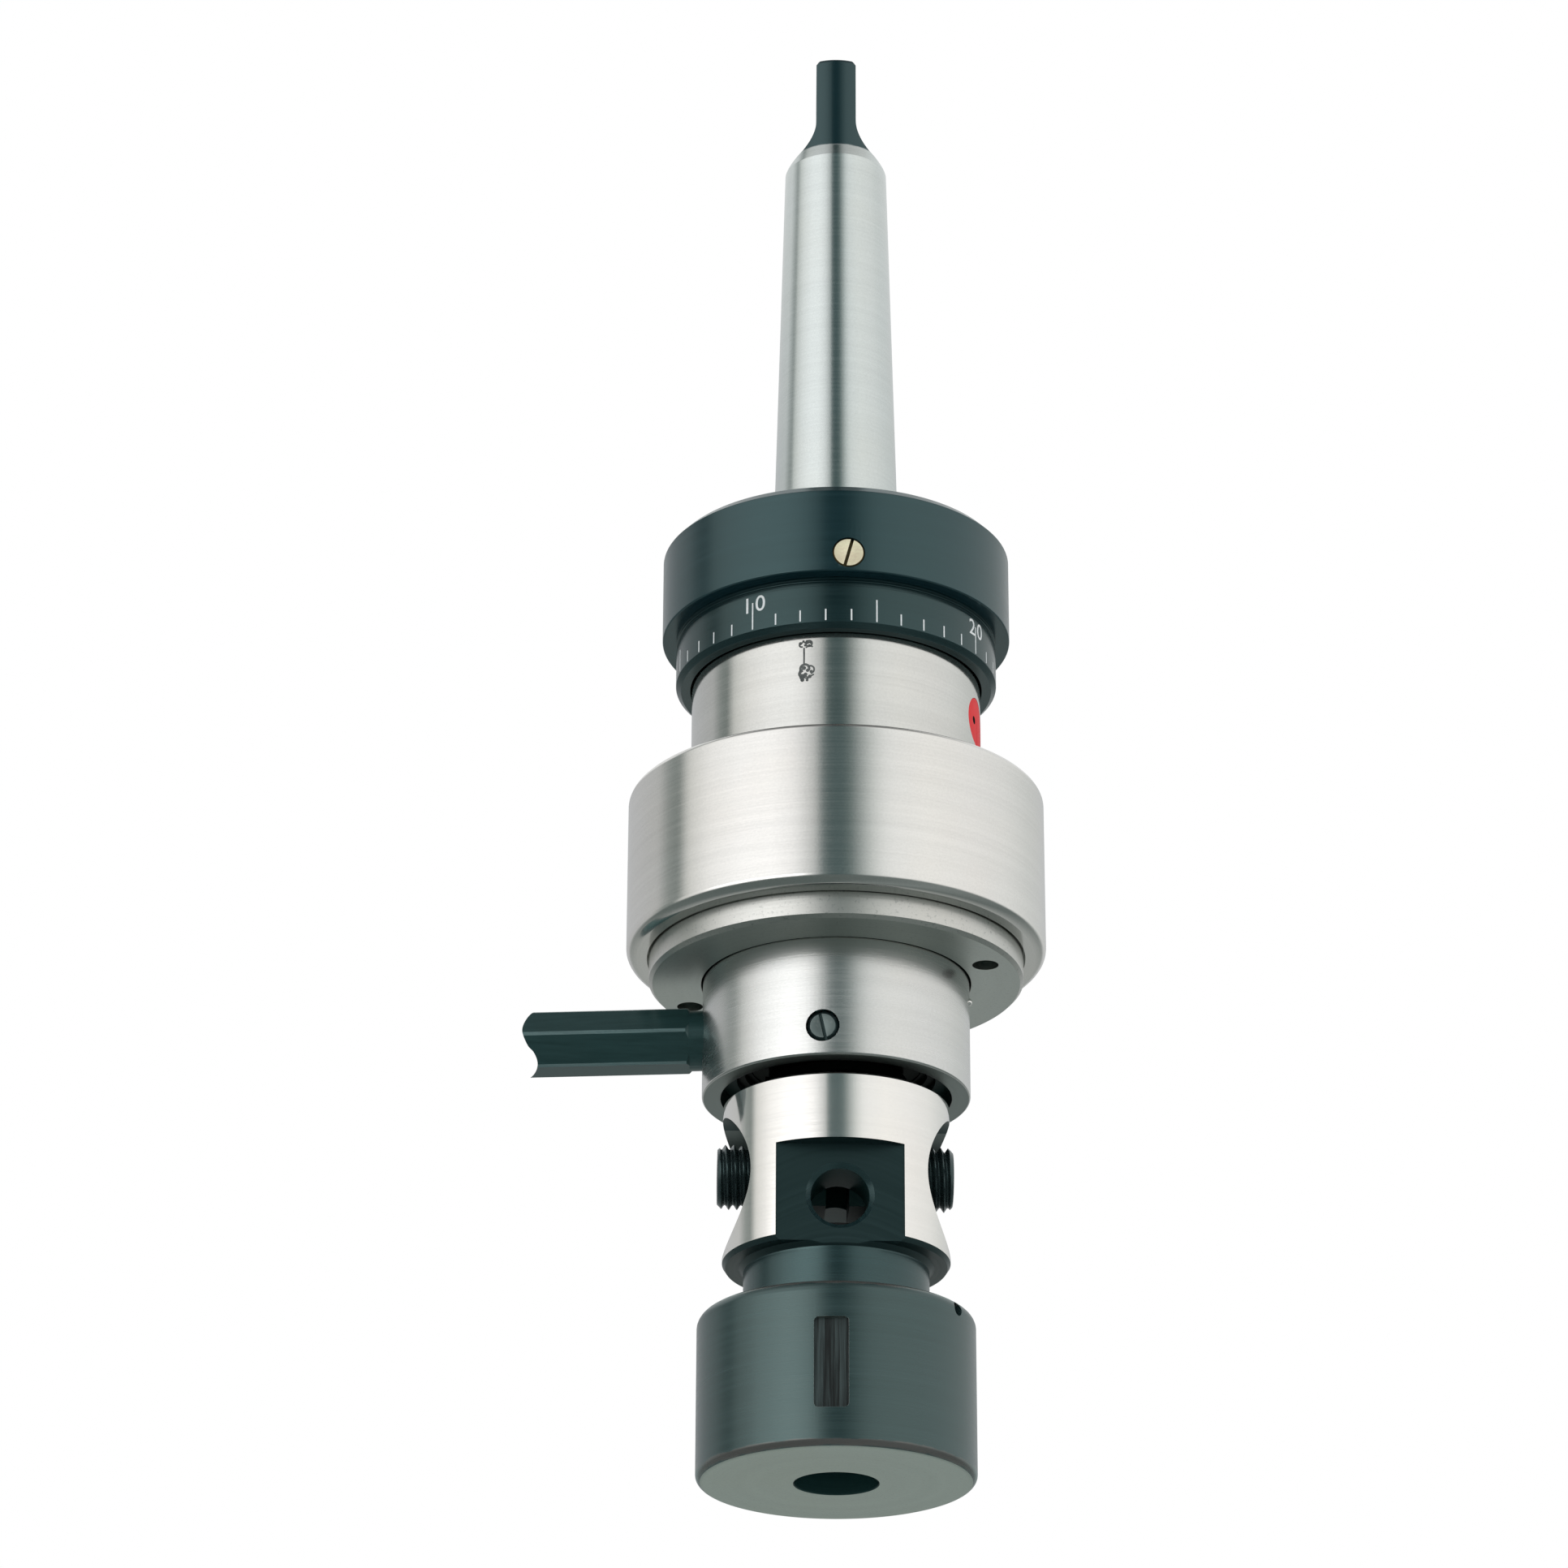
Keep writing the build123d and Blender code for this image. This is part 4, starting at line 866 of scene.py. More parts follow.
# Scale ring with its divisions and numbers
groove_top = collar_bottom - groove_drop
groove_bottom = groove_top - groove_width
scale = raw("scale_ring_black", lathe([
    (scale_bore, scale_bottom, 0.12),
    (scale_radius - scale_chamfer_width, scale_bottom, 0.12),
    (scale_radius, scale_bottom + scale_chamfer_height, 0.12),
    (scale_radius, groove_bottom, 0.08),
    (scale_radius - groove_depth, groove_top - 0.8),
    (scale_radius - groove_depth, groove_top - 0.1),
    (scale_radius, groove_top, 0.08),
    (scale_radius, collar_bottom - 0.75, 0.05),
    (scale_radius - line_depth, collar_bottom - 0.7),
    (scale_radius - line_depth, collar_bottom - 0.5),
    (scale_radius, collar_bottom - 0.45, 0.05),
    (scale_radius, collar_bottom, 0.1),
    (spigot_radius + seat, collar_bottom),
    (spigot_radius + seat, spigot_end),
    (scale_bore, spigot_end, 0.15),
], arc=3))
finish_piece(scale, "torque_collar", [ring_oxide], ["scale_ring"])


def wrap(bm, azimuth, radius):
    """Lays a flat mesh, x to the right and y its height, round the part at this azimuth."""
    for v in bm.verts:
        a = math.radians(azimuth) + v.co.x / radius
        r = radius + v.co.z
        v.co = Vector((r * math.sin(a), -r * math.cos(a), v.co.y))
    return bm


def digit(text, height, x, y):
    """A numeral as a flat mesh with its foot's middle at (x, y)."""
    curve = bpy.data.curves.new("numeral", "FONT")
    curve.body = text
    curve.size = height / figure_share
    curve.align_x = "CENTER"
    curve.extrude = paint_half
    curve.offset = paint_half
    curve.resolution_u = 6
    holder = bpy.data.objects.new("numeral", curve)
    bpy.context.scene.collection.objects.link(holder)
    bpy.context.view_layer.update()
    shape = holder.evaluated_get(bpy.context.evaluated_depsgraph_get())
    mesh = bpy.data.meshes.new_from_object(shape)
    bm = bmesh.new()
    bm.from_mesh(mesh)
    bmesh.ops.translate(bm, vec=(x, y, paint_half), verts=bm.verts)
    bpy.data.objects.remove(holder)
    bpy.data.curves.remove(curve)
    bpy.data.meshes.remove(mesh)
    return bm


marks = []
for n in range(divisions):
    azimuth = azimuth_of_15 + (n - 15) * 360 / divisions
    length = short_tick
    if n % 10 == 0:
        length = long_tick
    elif n % 5 == 0:
        length = middle_tick
    line = prism(rectangle(tick_width, length, 0, tick_foot + length / 2), 0.03, -0.01)
    marks.append(wrap(line, azimuth, scale_radius))
    if n % 10 == 0:
        figures = [(ones_x, "0")] if n == 0 else [(tens_x, str(n // 10)), (ones_x, "0")]
        for shift, text in figures:
            figure = digit(text, figure_height, shift, figure_foot)
            marks.append(wrap(figure, azimuth, scale_radius))
finish_piece(raw("scale_numbers", joined(marks)), "torque_collar", [white_paint])

# Housing: tube, neck and drum, with the oil plug and the etched index
web_bottom = driver_bottom + driver_thickness
housing = raw("drum", lathe([
    (clutch_bore, tube_top),
    (clutch_bore, clutch_seat),
    (arbor_bearing_radius, clutch_seat),
    (arbor_bearing_radius, arbor_bearing_bottom),
    (web_bore, arbor_bearing_bottom),
    (web_bore, web_bottom),
    (driver_radius + seat, web_bottom),
    (driver_radius + seat, driver_bottom),
    (dog_room_radius, driver_bottom),
    (dog_room_radius, ring_gear_top),
    (drum_bore, ring_gear_top),
    (drum_bore, drum_bottom, 0.1),
    (drum_radius, drum_bottom, drum_bottom_round),
    (drum_radius, drum_top, drum_top_round),
    (neck_radius, drum_top, 0.25),
    (neck_radius, neck_top, 0.3),
    (tube_radius, neck_top),
    (tube_radius, tube_top, 0.4),
], FINE_STEPS, arc=7))
for n in range(2):
    ways = prism(rectangle(2 * key_reach, key_way_width), tube_top + 1 - clutch_seat, clutch_seat)
    carve(housing, [moved(ways, about_z(90 * n))])
carve(housing, [bore(plug_radius + running, 8.0, plug_azimuth, plug_seat, plug_z, 56)])


def housing_look(at, normal):
    """The drum, the neck, dark oxide inside as painted shade and bright steel on the edge round the
    retainer ring as a painted highlight.
    """
    radius = math.hypot(at.x, at.y)
    # Painted shade: dark oxide on the inner walls.
    if radius < tube_radius - 0.1:
        return 2
    # Painted highlight: bright steel on the drum's inner lower edge.
    if radius < drum_bore + 0.4 and at.z < drum_bottom + 0.4:
        return 3
    return int(at.z > drum_top + 0.02)


finish_piece(
    housing, "housing", [drum_steel, neck_steel, painted_shade_inside, bright_steel_and_highlight], ["housing"],
    edge=0.1, choose=housing_look,
)

plug = raw("plug", bore(plug_radius, plug_length, plug_azimuth, plug_seat, plug_z, 56))
plug_outside = lathe([
    (0, plug_z - 8),
    (neck_radius - seat, plug_z - 8),
    (neck_radius - seat, plug_z + 8),
    (0, plug_z + 8),
], FINE_STEPS)
carve(plug, [plug_outside], "INTERSECT")
carve(plug, [bore(dimple_radius, 3.0, dimple_azimuth, dimple_floor, plug_z, 24)])


def plug_look(at, normal):
    # The dimple gets dark oxide as painted shade.
    inside = dimple_floor - 0.3 < math.hypot(at.x, at.y) < neck_radius - 0.2
    return int(inside and abs(at.z - plug_z) < 1.5)


finish_piece(
    plug, "housing", [red_plastic, painted_shade_inside], ["oil_plug"],
    edge=0.12, choose=plug_look,
)


def arc_line(x, y, radius, start, end, steps=9):
    """Points along an arc from one angle to another."""
    angles = [math.radians(start + (end - start) * k / steps) for k in range(steps + 1)]
    return [(x + radius * math.cos(a), y + radius * math.sin(a)) for a in angles]


# The index as lines of points with a width, and as spots, each with its height on the neck
index_strokes = [
    ([(0, -48.6), (0.02, -47.0), (0, -45.2)], 0.34),
    (arc_line(0.95, -44.4, 0.6, -150, 170), 0.34),
    (arc_line(-0.45, -44.6, 0.42, 60, 300), 0.34),
    ([(-0.2, -43.9), (0.5, -44.4), (1.5, -44.0)], 0.32),
    ([(0.3, -45.2), (1.0, -44.9), (1.7, -45.1)], 0.30),
    (arc_line(0.15, -49.5, 0.85, -30, 200), 0.50),
    (arc_line(-0.2, -50.5, 0.65, 90, 330), 0.60),
    (arc_line(1.15, -49.8, 0.8, -80, 110), 0.34),
    ([(-0.75, -51.6), (0.1, -51.2), (0.9, -51.6)], 0.60),
    ([(-0.5, -50.8), (0.4, -50.9)], 0.50),
    ([(1.1, -51.2), (1.9, -50.8)], 0.30),
]
index_blots = [
    (-0.7, -44.3, 0.34), (-0.1, -43.9, 0.26), (0.6, -44.0, 0.36), (1.35, -44.2, 0.34),
    (0.25, -44.7, 0.28), (1.0, -44.8, 0.26), (-0.6, -50.0, 0.36), (0.0, -49.4, 0.42),
    (0.7, -49.9, 0.36), (1.4, -50.2, 0.34), (-0.5, -51.0, 0.48), (0.3, -50.7, 0.38),
    (1.1, -51.2, 0.38), (-0.3, -51.8, 0.40), (0.6, -51.9, 0.28),
]
strokes = []
for line, width in index_strokes:
    etching = prism(stroke(line, width), 0.022, -mark_half_depth)
    strokes.append(wrap(etching, mark_azimuth, neck_radius))
for x, y, r in index_blots:
    blot = moved(prism(ngon(r, 9), 0.02, -mark_half_depth), Matrix.Translation((x, y, 0)))
    strokes.append(wrap(blot, mark_azimuth, neck_radius))
finish_piece(raw("index_mark", joined(strokes)), "housing", [etched])

# Retainer ring with its spanner holes
retainer = raw("retainer", lathe([
    (sleeve_bearing_radius, retainer_top),
    (sleeve_bearing_radius, sleeve_bearing_bottom),
    (retainer_bore, sleeve_bearing_bottom),
    (retainer_bore, retainer_bottom, 0.2),
    (retainer_radius - retainer_chamfer, retainer_bottom, 0.12),
    (retainer_radius, retainer_bottom + retainer_chamfer, 0.12),
    (retainer_radius, retainer_shoulder),
    (drum_bore - seat, retainer_shoulder),
    (drum_bore - seat, retainer_top),
], FINE_STEPS))
for turn in (0, 180):
    spot = outward(spanner_hole_azimuth + turn, spanner_hole_circle, 0).translation
    hole = prism(ngon(spanner_hole_radius, 36), spanner_hole_depth + 0.4, retainer_bottom - 0.4)
    carve(retainer, [moved(hole, Matrix.Translation(spot))])


def retainer_look(at, normal):
    """The rim, the lower face and dark oxide inside as painted shade."""
    # Painted shade: dark oxide inside.
    if at.z > retainer_bottom + 2.0 and math.hypot(at.x, at.y) < retainer_radius - 0.8:
        return 2
    return int(normal.z < -0.9)


finish_piece(
    retainer, "housing", [retainer_steel, face_steel, painted_shade_inside], ["retainer_ring"],
    edge=0.1, choose=retainer_look,
)

# Arm sleeve with its set screw and a ball oiler
sleeve = raw("sleeve", lathe([
    (sun_bearing_radius, carrier_top),
    (sun_bearing_radius, sun_bearing_bottom),
    (sleeve_web_bore, sun_bearing_bottom),
    (sleeve_web_bore, spindle_bearing_top),
    (spindle_bearing_radius, spindle_bearing_top),
    (spindle_bearing_radius, spindle_bearing_bottom),
    (spindle_bearing_radius + circlip_groove, spindle_bearing_bottom),
    (spindle_bearing_radius + circlip_groove, sleeve_clip_bottom),
    (spindle_bearing_radius, sleeve_clip_bottom),
    (spindle_bearing_radius, sleeve_bore_top),
    (sleeve_bore, sleeve_bore_top),
    (sleeve_bore, sleeve_bottom, 0.2),
    (sleeve_radius, sleeve_bottom, 0.45),
    (sleeve_radius, carrier_bottom),
    (carrier_radius, carrier_bottom),
    (carrier_radius, carrier_top),
], SPINDLE_STEPS))
carve(sleeve, [
    bore(arm_neck_radius + seat, 9.2, arm_azimuth, arm_socket_floor, arm_z),
    bore(set_screw_radius + seat, 20.0, set_screw_azimuth, set_hole_start, set_screw_z, 40),
])
set_rim = outward(set_screw_azimuth, sleeve_radius, set_screw_z).translation


def sleeve_look(at, normal):
    """The wall, dark oxide inside as painted shade, darker steel on the lower face as painted shade and
    bright steel on the edge round the set screw as a painted highlight.
    """
    radius = math.hypot(at.x, at.y)
    # Painted shade: darker steel on the lower face.
    if at.z < sleeve_bottom + 0.05:
        return 2
    # Painted highlight: bright steel round the set screw's hole.
    if (at - set_rim).length < set_screw_radius + 0.3 and radius > sleeve_radius - 0.3:
        return 3
    # Painted shade: dark oxide inside the bore.
    if radius < sleeve_bore + 0.1 and at.z > sleeve_bottom + 0.1:
        return 1
    return int(radius < sleeve_radius - 0.9 and normal.z > -0.5)


finish_piece(
    sleeve, "arm_sleeve", [sleeve_steel, painted_shade_inside, shaded_sleeve_foot, bright_steel_and_highlight], ["arm_sleeve"],
    edge=0.15, choose=sleeve_look,
)
set_place = outward(set_screw_azimuth, sleeve_radius - 0.2, set_screw_z)
set_screw = slotted_screw(
    "set_screw", set_screw_radius - 0.1, set_face_radius, set_screw_length, set_place, set_screw_tilt
)
finish_piece(
    set_screw, "arm_sleeve", [set_face, screw_oxide], ["sleeve_set_screw"],
    edge=0.05, choose=on_face(set_place),
)
half_turn = [math.radians(a) for a in range(0, 181, 12)]
ball = lathe([(oiler_radius * math.sin(a), oiler_radius * math.cos(a)) for a in half_turn], 32)
oiler = raw("ball_oiler", moved(ball, outward(oiler_azimuth, sleeve_radius - 0.3, oiler_z)))
finish_piece(oiler, "arm_sleeve", [bright_steel_and_highlight])

# Torque arm: a hexagon bar, cut off along a curve
arm_place = outward(arm_azimuth, 0, arm_z)
corners = [Vector(corner) for corner in ngon(arm_corner, 6)]
bar = []
for n, corner in enumerate(corners):
    for other in (corners[n - 1], corners[(n + 1) % 6]):
        bar.append(tuple(corner.lerp(other, arm_edge_width / arm_corner)))
arm = raw("arm", moved(prism(bar, arm_length + 2.0 - arm_neck_end, arm_neck_end), arm_place))
shoulder_cut = lathe([
    (arm_corner - arm_chamfer, arm_neck_end - 0.1),
    (arm_corner + 2.0, arm_neck_end - 0.1),
    (arm_corner + 2.0, arm_neck_end + 3.0),
], 72)
# The curve of the cut end, as shares of the bar's half width: along the bar and up
end_profile = [
    (-0.42, 1.24), (-0.24, 1.14), (-0.08, 0.91), (0.0, 0.62), (-0.06, 0.32), (-0.20, -0.03),
    (-0.38, -0.26), (-0.49, -0.56), (-0.47, -0.82), (-0.25, -1.09), (0.02, -1.26),
]
crest = smooth_line([(arm_length + along * arm_half, up * arm_half) for along, up in end_profile], 6)
beyond = arm_length + arm_across_flats
end_shape = crest + [
    (crest[-1][0], -arm_cut_reach),
    (beyond, -arm_cut_reach),
    (beyond, arm_cut_reach),
    (crest[0][0], arm_cut_reach),
]
leaning = arm_place @ Matrix(((0, 0, -1, 0), (0, 1, -arm_cut_lean, 0), (1, 0, 0, 0), (0, 0, 0, 1)))
carve(arm, [moved(shoulder_cut, arm_place), moved(prism(end_shape, 24.0, -12.0), leaning)])
arm_neck = lathe([
    (0, arm_socket_floor + seat),
    (arm_neck_radius, arm_socket_floor + seat, 0.3),
    (arm_neck_radius, arm_neck_end + 0.4),
    (0, arm_neck_end + 0.4),
], 72)
carve(arm, [moved(arm_neck, arm_place)], "UNION")
flat_turns = [math.radians(30 + 60 * n) for n in range(6)]
flats = [arm_place.to_3x3() @ Vector((math.cos(a), math.sin(a), 0)) for a in flat_turns]


def arm_look(at, normal):
    """Look 1, lighter oxide that is partly wear and partly a painted highlight, on the rounded edges
    along the bar.
    """
    along = abs(normal.dot(arm_place.col[2].to_3d()))
    if along > 0.2 or (at - arm_place.translation).length < arm_neck_end + 1.0:
        return 0
    return int(max(normal.dot(flat) for flat in flats) < 0.99)


finish_piece(
    arm, "arm_sleeve", [arm_oxide, arm_edge], ["torque_arm"],
    edge=0.06, sharp=24, choose=arm_look,
)

# Spindle: keyed shaft, chuck body and nose with its fine turned rings
rings = []
for n in range(ring_count):
    level = chuck_bottom - 1.0 - n * ring_pitch
    rings += [(nose_radius, level), (nose_radius - ring_depth, level - ring_pitch / 2)]
spindle = raw("chuck", lathe([
    (0, spindle_top),
    (pilot_radius, spindle_top, 0.4),
    (pilot_radius, dog_clip_top),
    (pilot_radius - circlip_groove, dog_clip_top),
    (pilot_radius - circlip_groove, dog_flange_top),
    (pilot_radius, dog_flange_top),
    (pilot_radius, dog_flange_bottom),
    (spindle_radius, dog_flange_bottom),
    (spindle_radius, chuck_top),
    (spring_recess_inner, chuck_top),
    (spring_recess_inner, chuck_top - spring_recess_depth),
    (spring_recess_radius, chuck_top - spring_recess_depth),
    (spring_recess_radius, chuck_top),
    (chuck_radius - chuck_top_chamfer, chuck_top, 0.1),
    (chuck_radius, chuck_top - chuck_top_chamfer, 0.1),
    (chuck_radius, chuck_bottom + chuck_chamfer, 0.1),
    (chuck_radius - chuck_chamfer_width, chuck_bottom, 0.1),
    (nose_radius + 0.9, chuck_bottom, 0.2),
    (nose_radius, chuck_bottom - 0.9, 0.05),
    *rings,
    (nose_radius, relief_end),
    (nose_radius, nose_bottom + nose_chamfer, 0.1),
    (nose_radius - nose_chamfer, nose_bottom, 0.1),
    (nose_mouth_radius, nose_bottom),
    (collet_top_radius, collet_top),
    (0, collet_top),
], SPINDLE_STEPS))
key_slot = rectangle(2 * spindle_radius, key_slot_width, key_slot_middle)
for n in range(4):
    carve(spindle, [moved(prism(key_slot, key_slot_height, key_slot_bottom), about_z(90 * n))])
chamber = rectangle(chamber_width, chamber_height, 0, collet_top + 9.25)
chamber_cut = prism(chamber, chamber_depth, -chamber_depth / 2)
carve(spindle, [moved(chamber_cut, outward(chuck_azimuth, 0, 0))])
for turn in (90, -90):
    jaw_turn = chuck_azimuth + turn
    carve(spindle, [
        bore(jaw_screw_radius + thread_play, 21.0, jaw_turn, cross_hole_start, jaw_screw_z, 56),
        bore(spot_radius, 12.0, jaw_turn, spot_floor, spot_z, 120),
    ])
flat_height = ledge_z - chuck_bottom + 0.5
flat_face = rectangle(flat_width, flat_height, 0, ledge_z - flat_height / 2)
for turn in (0, 180):
    mouth = lathe([
        (0, cross_hole_start),
        (window_radius, cross_hole_start),
        (window_radius, flat_offset - window_lip),
        (window_radius + window_sink, flat_offset + 0.1),
        (0, flat_offset + 0.1),
    ], 64)
    carve(spindle, [
        moved(prism(flat_face, 12.0, flat_offset), outward(chuck_azimuth + turn, 0, 0)),
        moved(mouth, outward(chuck_azimuth + turn, 0, window_z)),
    ])


def chuck_look(at, normal):
    """Bright outside, blackened flats, chamfers and nose, a dull spot face, dark oxide inside the window
    as painted shade, and lighter oxide on the window's mouth as a painted highlight.
    """
    radius = math.hypot(at.x, at.y)
    if at.z < chuck_bottom - 0.95:
        return 2
    if at.z > chuck_bottom + chuck_chamfer - 0.05 and radius > chuck_radius - 0.3:
        return 0
    if at.z > chuck_top - 0.1 and radius > spring_recess_radius + 0.1:
        return 0
    if at.z > chuck_top - spring_recess_depth - 0.2 or at.z < chuck_bottom + 0.3:
        return 1
    turn = math.radians(chuck_azimuth)
    side = abs(at.x * math.cos(turn) + at.y * math.sin(turn))
    if side > spot_floor - 0.3 and radius < chuck_radius - 0.3:
        return 3
    front = abs(at.y * math.cos(turn) - at.x * math.sin(turn))
    # Inside the window: dark oxide as painted shade.
    in_window = math.hypot(side, at.z - window_z) < window_radius + 0.1
    if in_window and front < flat_offset - 0.85:
        return 4
    # The mouth's chamfer gets the lighter nose oxide as a painted highlight.
    on_mouth = math.hypot(side, at.z - window_z) < window_radius + window_sink + 0.1
    return 2 if on_mouth and flat_offset - window_lip < front < flat_offset - 0.05 else 1


finish_piece(
    spindle, "spindle", [bright_steel_and_highlight, chuck_oxide, neck_oxide, spot_steel, painted_shade_inside], ["spindle"],
    edge=0.12, choose=chuck_look,
)


def threaded(radius, start, end, pitch=1.5, depth=0.85, steps=64, per=10):
    """A screw's threaded body along Z, chamfered at both ends."""
    bm = bmesh.new()
    rows = []
    count = round((end - start) / pitch * per)
    for k in range(count + 1):
        height = start + (end - start) * k / count
        limit = radius - 0.95 + min(height - start, end - height)
        ring = []
        for i in range(steps):
            a = 2 * math.pi * i / steps
            phase = (height / pitch - i / steps) % 1.0
            wave = min(1.0, max(0.0, abs(2 * phase - 1) * 1.35 - 0.1))
            r = min(radius - depth * wave, limit)
            ring.append(bm.verts.new((r * math.cos(a), r * math.sin(a), height)))
        rows.append(ring)
    for lower, upper in zip(rows, rows[1:]):
        for i in range(steps):
            j = (i + 1) % steps
            bm.faces.new((lower[i], lower[j], upper[j], upper[i]))
    bm.faces.new(list(reversed(rows[0])))
    bm.faces.new(rows[-1])
    bmesh.ops.recalc_face_normals(bm, faces=bm.faces)
    return bm


for turn, name in ((90, "right"), (-90, "left")):
    out = outward(chuck_azimuth + turn, 0, jaw_screw_z)
    jaw_screw_end = jaw_screw_ends[name]
    thread = threaded(jaw_screw_radius, jaw_screw_start, jaw_screw_end)
    screw = raw(f"jaw_screw_{name}_threaded", moved(thread, out))
    button = lathe([
        (0, button_start),
        (button_radius, button_start, 0.2),
        (button_radius, button_end),
        (button_neck_radius, button_end),
        (button_neck_radius, jaw_screw_start + 0.2),
        (0, jaw_screw_start + 0.2),
    ], 48)
    carve(screw, [moved(button, out)], "UNION")
    hexagon = ngon(jaw_socket_flats / math.sqrt(3), 6)
    socket = prism(hexagon, jaw_socket_depth + 1.0, jaw_screw_end - jaw_socket_depth)
    mouth = lathe([
        (0, jaw_screw_end - 0.4),
        (jaw_socket_mouth - 0.4, jaw_screw_end - 0.4),
        (jaw_socket_mouth + 0.4, jaw_screw_end + 0.4),
        (0, jaw_screw_end + 0.4),
    ], 48)
    carve(screw, [moved(socket, out), moved(mouth, out)])
    finish_piece(screw, f"jaw_screw_{name}", [screw_oxide], [f"jaw_screw_{name}"], sharp=50)

# Collet nut with its slots and the small hole in its rim
nut = raw("nut", lathe([
    (nut_opening, nut_bottom, 0.3),
    (nut_radius, nut_bottom, nut_bottom_rounding),
    (nut_radius, nut_top, nut_top_rounding),
    (nose_radius + thread_play, nut_top, 0.3),
    (nose_radius + thread_play, nose_bottom - 1.0),
    (nut_seat_radius, nose_bottom - 1.0),
    (nut_seat_radius, nose_bottom - 1.5),
    (nut_cone_end, nut_cone_z),
    (nut_opening, nut_cone_z),
], FINE_STEPS, arc=7))
slot_face = rectangle(nut_slot_width, nut_slot_length, 0, nut_slot_z, nut_slot_round)
for n in range(3):
    slot_cut = prism(slot_face, 6.0, nut_slot_floor)
    carve(nut, [moved(slot_cut, outward(nut_slot_azimuth + 120 * n, 0, 0))])
nut_hole_floor = nut_radius - nut_hole_depth
carve(nut, [bore(nut_hole_radius, 8.0, nut_hole_azimuth, nut_hole_floor, nut_hole_z, 28)])


def nut_look(at, normal):
    """Blackened, with a worn lower face, scratched slot floors, worn slot edges and dark oxide in the
    bore as painted shade.
    """
    radius = math.hypot(at.x, at.y)
    if normal.z < -0.9 and radius > nut_opening + 0.05:
        return 1
    # Painted shade: dark oxide in the bore.
    if radius < nose_radius + 0.3:
        return 3
    if abs(at.z - nut_slot_z) > nut_slot_length / 2 + 0.3:
        return 0
    if nut_slot_floor - 0.3 < radius < nut_slot_floor + 0.3 and abs(normal.z) < 0.3:
        return 2
    turned_out = (normal.x * at.x + normal.y * at.y) / radius
    return 4 if 0.2 < turned_out < 0.97 else 0


finish_piece(
    nut, "collet_nut", [nut_oxide, nut_face, nut_slot_metal, painted_shade_inside, worn_edge], ["collet_nut"],
    edge=0.1, choose=nut_look,
)

# The solids inside keep their shapes and get their own finish
bearing_names = ("arbor", "sleeve", "sun", "spindle")
bearings = [f"{name}_bearing_{part}" for name in bearing_names for part in ("inner", "outer")]
clips = ["arbor_circlip", "bearing_circlip", "dog_circlip"]
gears = ["planet_gear_1", "planet_gear_2", "planet_gear_3", "planet_pins", "ring_gear", "sun_gear"]
clutch = ["friction_discs", "pressure_ring", "spring_plate", "steel_discs"]
others = ["bearing_spacer", "collet_blades", "forward_driver", "shift_dog"]
finishes = [
    (machined_steel, gears + clutch + others),
    (bearing_steel, bearings[:6]),
    (spring_steel, clips + ["disc_springs"]),
    # These inner parts get darkened steel as painted shade.
    (painted_shade_steel, ["return_spring", "sleeve_circlip", "guide_bush"] + bearings[6:]),
    (rubber, ["collet_rubber"]),
    (jaw_oxide, ["jaw_right", "jaw_left"]),
]
for look, names in finishes:
    for name in names:
        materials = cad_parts[name].data.materials
        materials.clear()
        materials.append(look)


# Camera
scene = bpy.context.scene
scene.view_settings.view_transform = "Standard"
camera_data = bpy.data.cameras.new("camera")
camera_data.sensor_width = 36.0
camera_data.lens = 115.5
camera_data.clip_end = 60.0
camera = bpy.data.objects.new("camera", camera_data)
tilt = Matrix.Rotation(math.radians(90.0 + camera_tilt), 4, "X")
camera.matrix_world = Matrix.Translation(Vector(camera_place) * MM) @ tilt @ about_z(camera_roll)
scene.collection.objects.link(camera)
scene.camera = camera

# Floor: pale and matt, white for the camera
floor_mesh = bmesh.new()
bmesh.ops.create_grid(floor_mesh, x_segments=24, y_segments=24, size=floor_size)
for v in floor_mesh.verts:
    v.co.z = floor_z
floor = raw("floor", floor_mesh)
floor.visible_glossy = False
paper = bpy.data.materials.new("floor_paper")
n = Nodes(paper)
fibres = n.noise(n.position(), 6.0)
paper_tone = n.mix(fibres, rgb(0.84, 0.85, 0.85), rgb(0.88, 0.88, 0.88))
matt = n.add("ShaderNodeBsdfDiffuse", {"Color": paper_tone})
plain = n.add("ShaderNodeEmission", {"Color": rgb(1, 1, 1)})
seen = n.add("ShaderNodeLightPath").outputs["Is Camera Ray"]
cover = n.add("ShaderNodeMixShader", {0: seen, 1: matt.outputs[0], 2: plain.outputs[0]})
n.add("ShaderNodeOutputMaterial", {"Surface": cover.outputs[0]})
floor.data.materials.append(paper)

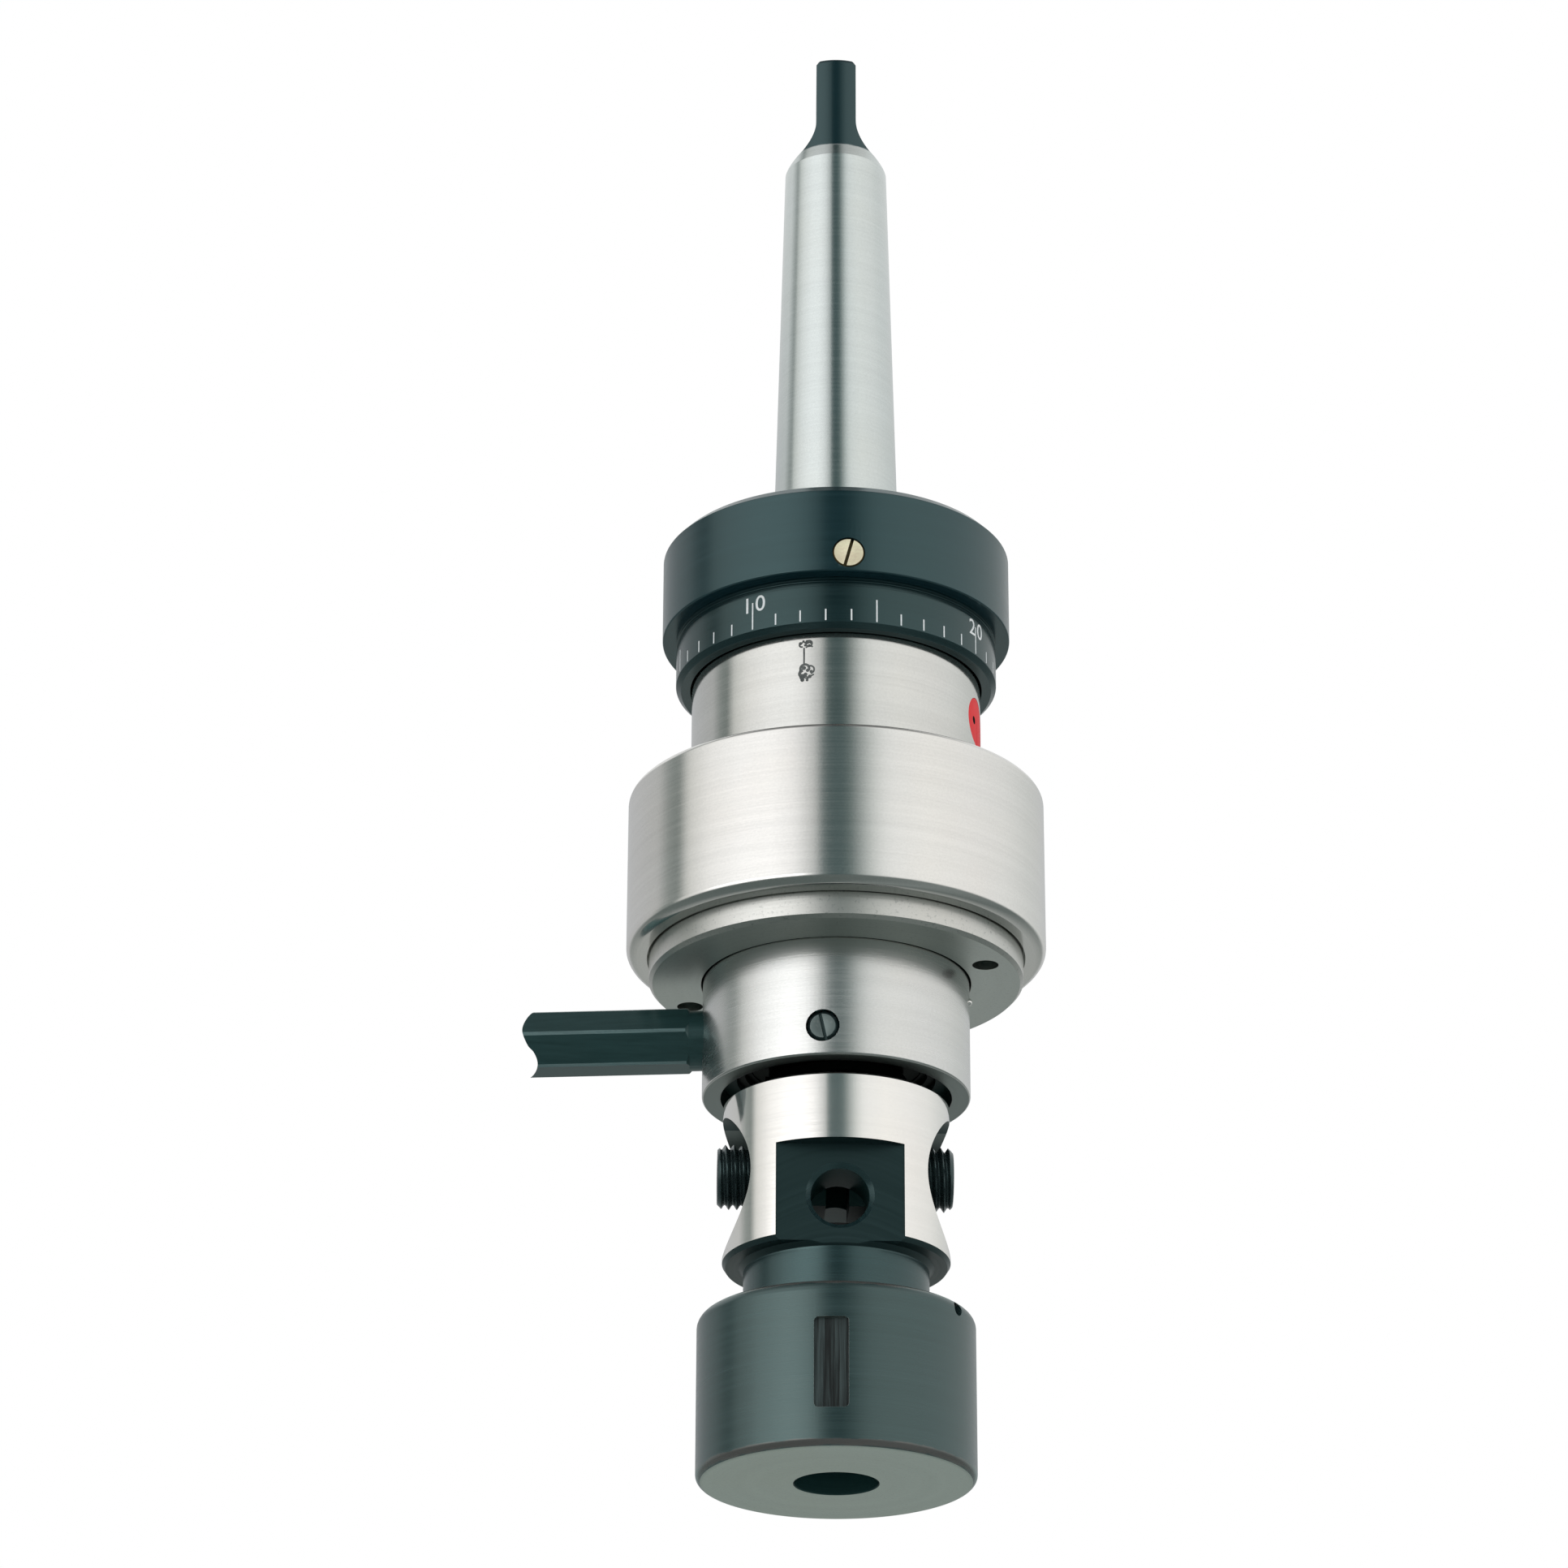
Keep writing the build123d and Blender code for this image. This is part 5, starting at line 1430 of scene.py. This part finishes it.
# Studio: white for the camera, and for reflections a bright room with a dark strip at the front.
# Each stop is an azimuth and the light there.
upper_room = [
    (-180, 0.50, 0.51, 0.52), (-140, 0.52, 0.53, 0.54), (-116, 0.50, 0.51, 0.51),
    (-105, 0.26, 0.29, 0.28), (-97, 0.20, 0.23, 0.22), (-89, 0.70, 0.71, 0.69),
    (-74, 0.96, 0.96, 0.95), (-54, 1.12, 1.12, 1.12), (-36, 1.13, 1.13, 1.13),
    (-24, 0.98, 0.98, 0.98), (-20, 0.84, 0.85, 0.85), (-16, 0.70, 0.71, 0.71),
    (-12, 0.56, 0.58, 0.575), (-8, 0.13, 0.17, 0.17), (-4, 0.076, 0.112, 0.113),
    (0, 0.07, 0.108, 0.11), (4, 0.08, 0.118, 0.119), (8, 0.145, 0.19, 0.185), (12, 0.31, 0.35, 0.345),
    (16, 0.48, 0.52, 0.51), (20, 0.66, 0.69, 0.68), (26, 0.84, 0.86, 0.85), (32, 0.91, 0.92, 0.91),
    (50, 0.96, 0.96, 0.94), (80, 0.90, 0.90, 0.89), (105, 0.82, 0.83, 0.82), (130, 0.68, 0.70, 0.69),
    (180, 0.50, 0.51, 0.52),
]
lower_room = [
    (-180, 0.38, 0.40, 0.39), (-110, 0.13, 0.155, 0.15), (-60, 0.11, 0.135, 0.13),
    (0, 0.11, 0.135, 0.13), (60, 0.21, 0.24, 0.235), (110, 0.14, 0.165, 0.16),
    (180, 0.38, 0.40, 0.39),
]
world = bpy.data.worlds.new("studio")
scene.world = world
n = Nodes(world)
x, y, z = n.split(n.add("ShaderNodeTexCoord").outputs["Generated"])
turn = n.math("DIVIDE", n.math("ARCTAN2", x, n.math("MULTIPLY", y, -1.0)), 2 * math.pi)
around = n.math("ADD", turn, 0.5)
above = n.ramp(around, [(a / 360 + 0.5, rgb(*color)) for a, *color in upper_room])
below = n.ramp(around, [(a / 360 + 0.5, rgb(*color)) for a, *color in lower_room])
# Low at the left a window adds light, overhead the room gets darker, and the back stays pale
degrees = n.math("MULTIPLY", turn, 360.0)
left_side = n.math("MULTIPLY", n.span(degrees, -76.0, -66.0), n.span(degrees, -20.0, -12.0, 1.0, 0.0))
low_window = n.math("MULTIPLY", left_side, n.span(z, 0.318, 0.300))
pane = n.span(degrees, -58.0, -42.0, 0.6, 1.1)
window = n.math("ADD", n.math("MULTIPLY", low_window, pane), 1.0)
ceiling = n.math("MULTIPLY", window, n.span(z, 0.7, 0.95, 1.0, 0.2))
overhead = n.add("ShaderNodeCombineColor", {0: ceiling, 1: ceiling, 2: ceiling}).outputs[0]
above = n.mix(1.0, above, overhead, "MULTIPLY")
behind = n.math("MULTIPLY", n.span(z, 0.44, 0.52), n.span(y, 0.0, 0.4))
above = n.mix(behind, above, rgb(0.80, 0.81, 0.81))
room = n.mix(n.span(z, -0.16, 0.05), below, above)
light = n.add("ShaderNodeLightPath").outputs
lit = n.add("ShaderNodeBackground", {"Color": room}).outputs[0]
soft = n.add("ShaderNodeBackground", {"Color": rgb(0.97, 0.99, 1.0), "Strength": 0.88}).outputs[0]
white = n.add("ShaderNodeBackground", {"Color": rgb(1, 1, 1)}).outputs[0]
inner = n.add("ShaderNodeMixShader", {0: light["Is Glossy Ray"], 1: soft, 2: lit}).outputs[0]
seen = n.math("MAXIMUM", light["Is Camera Ray"], light["Is Transmission Ray"])
outer = n.add("ShaderNodeMixShader", {0: seen, 1: inner, 2: white}).outputs[0]
n.add("ShaderNodeOutputWorld", {"Surface": outer})
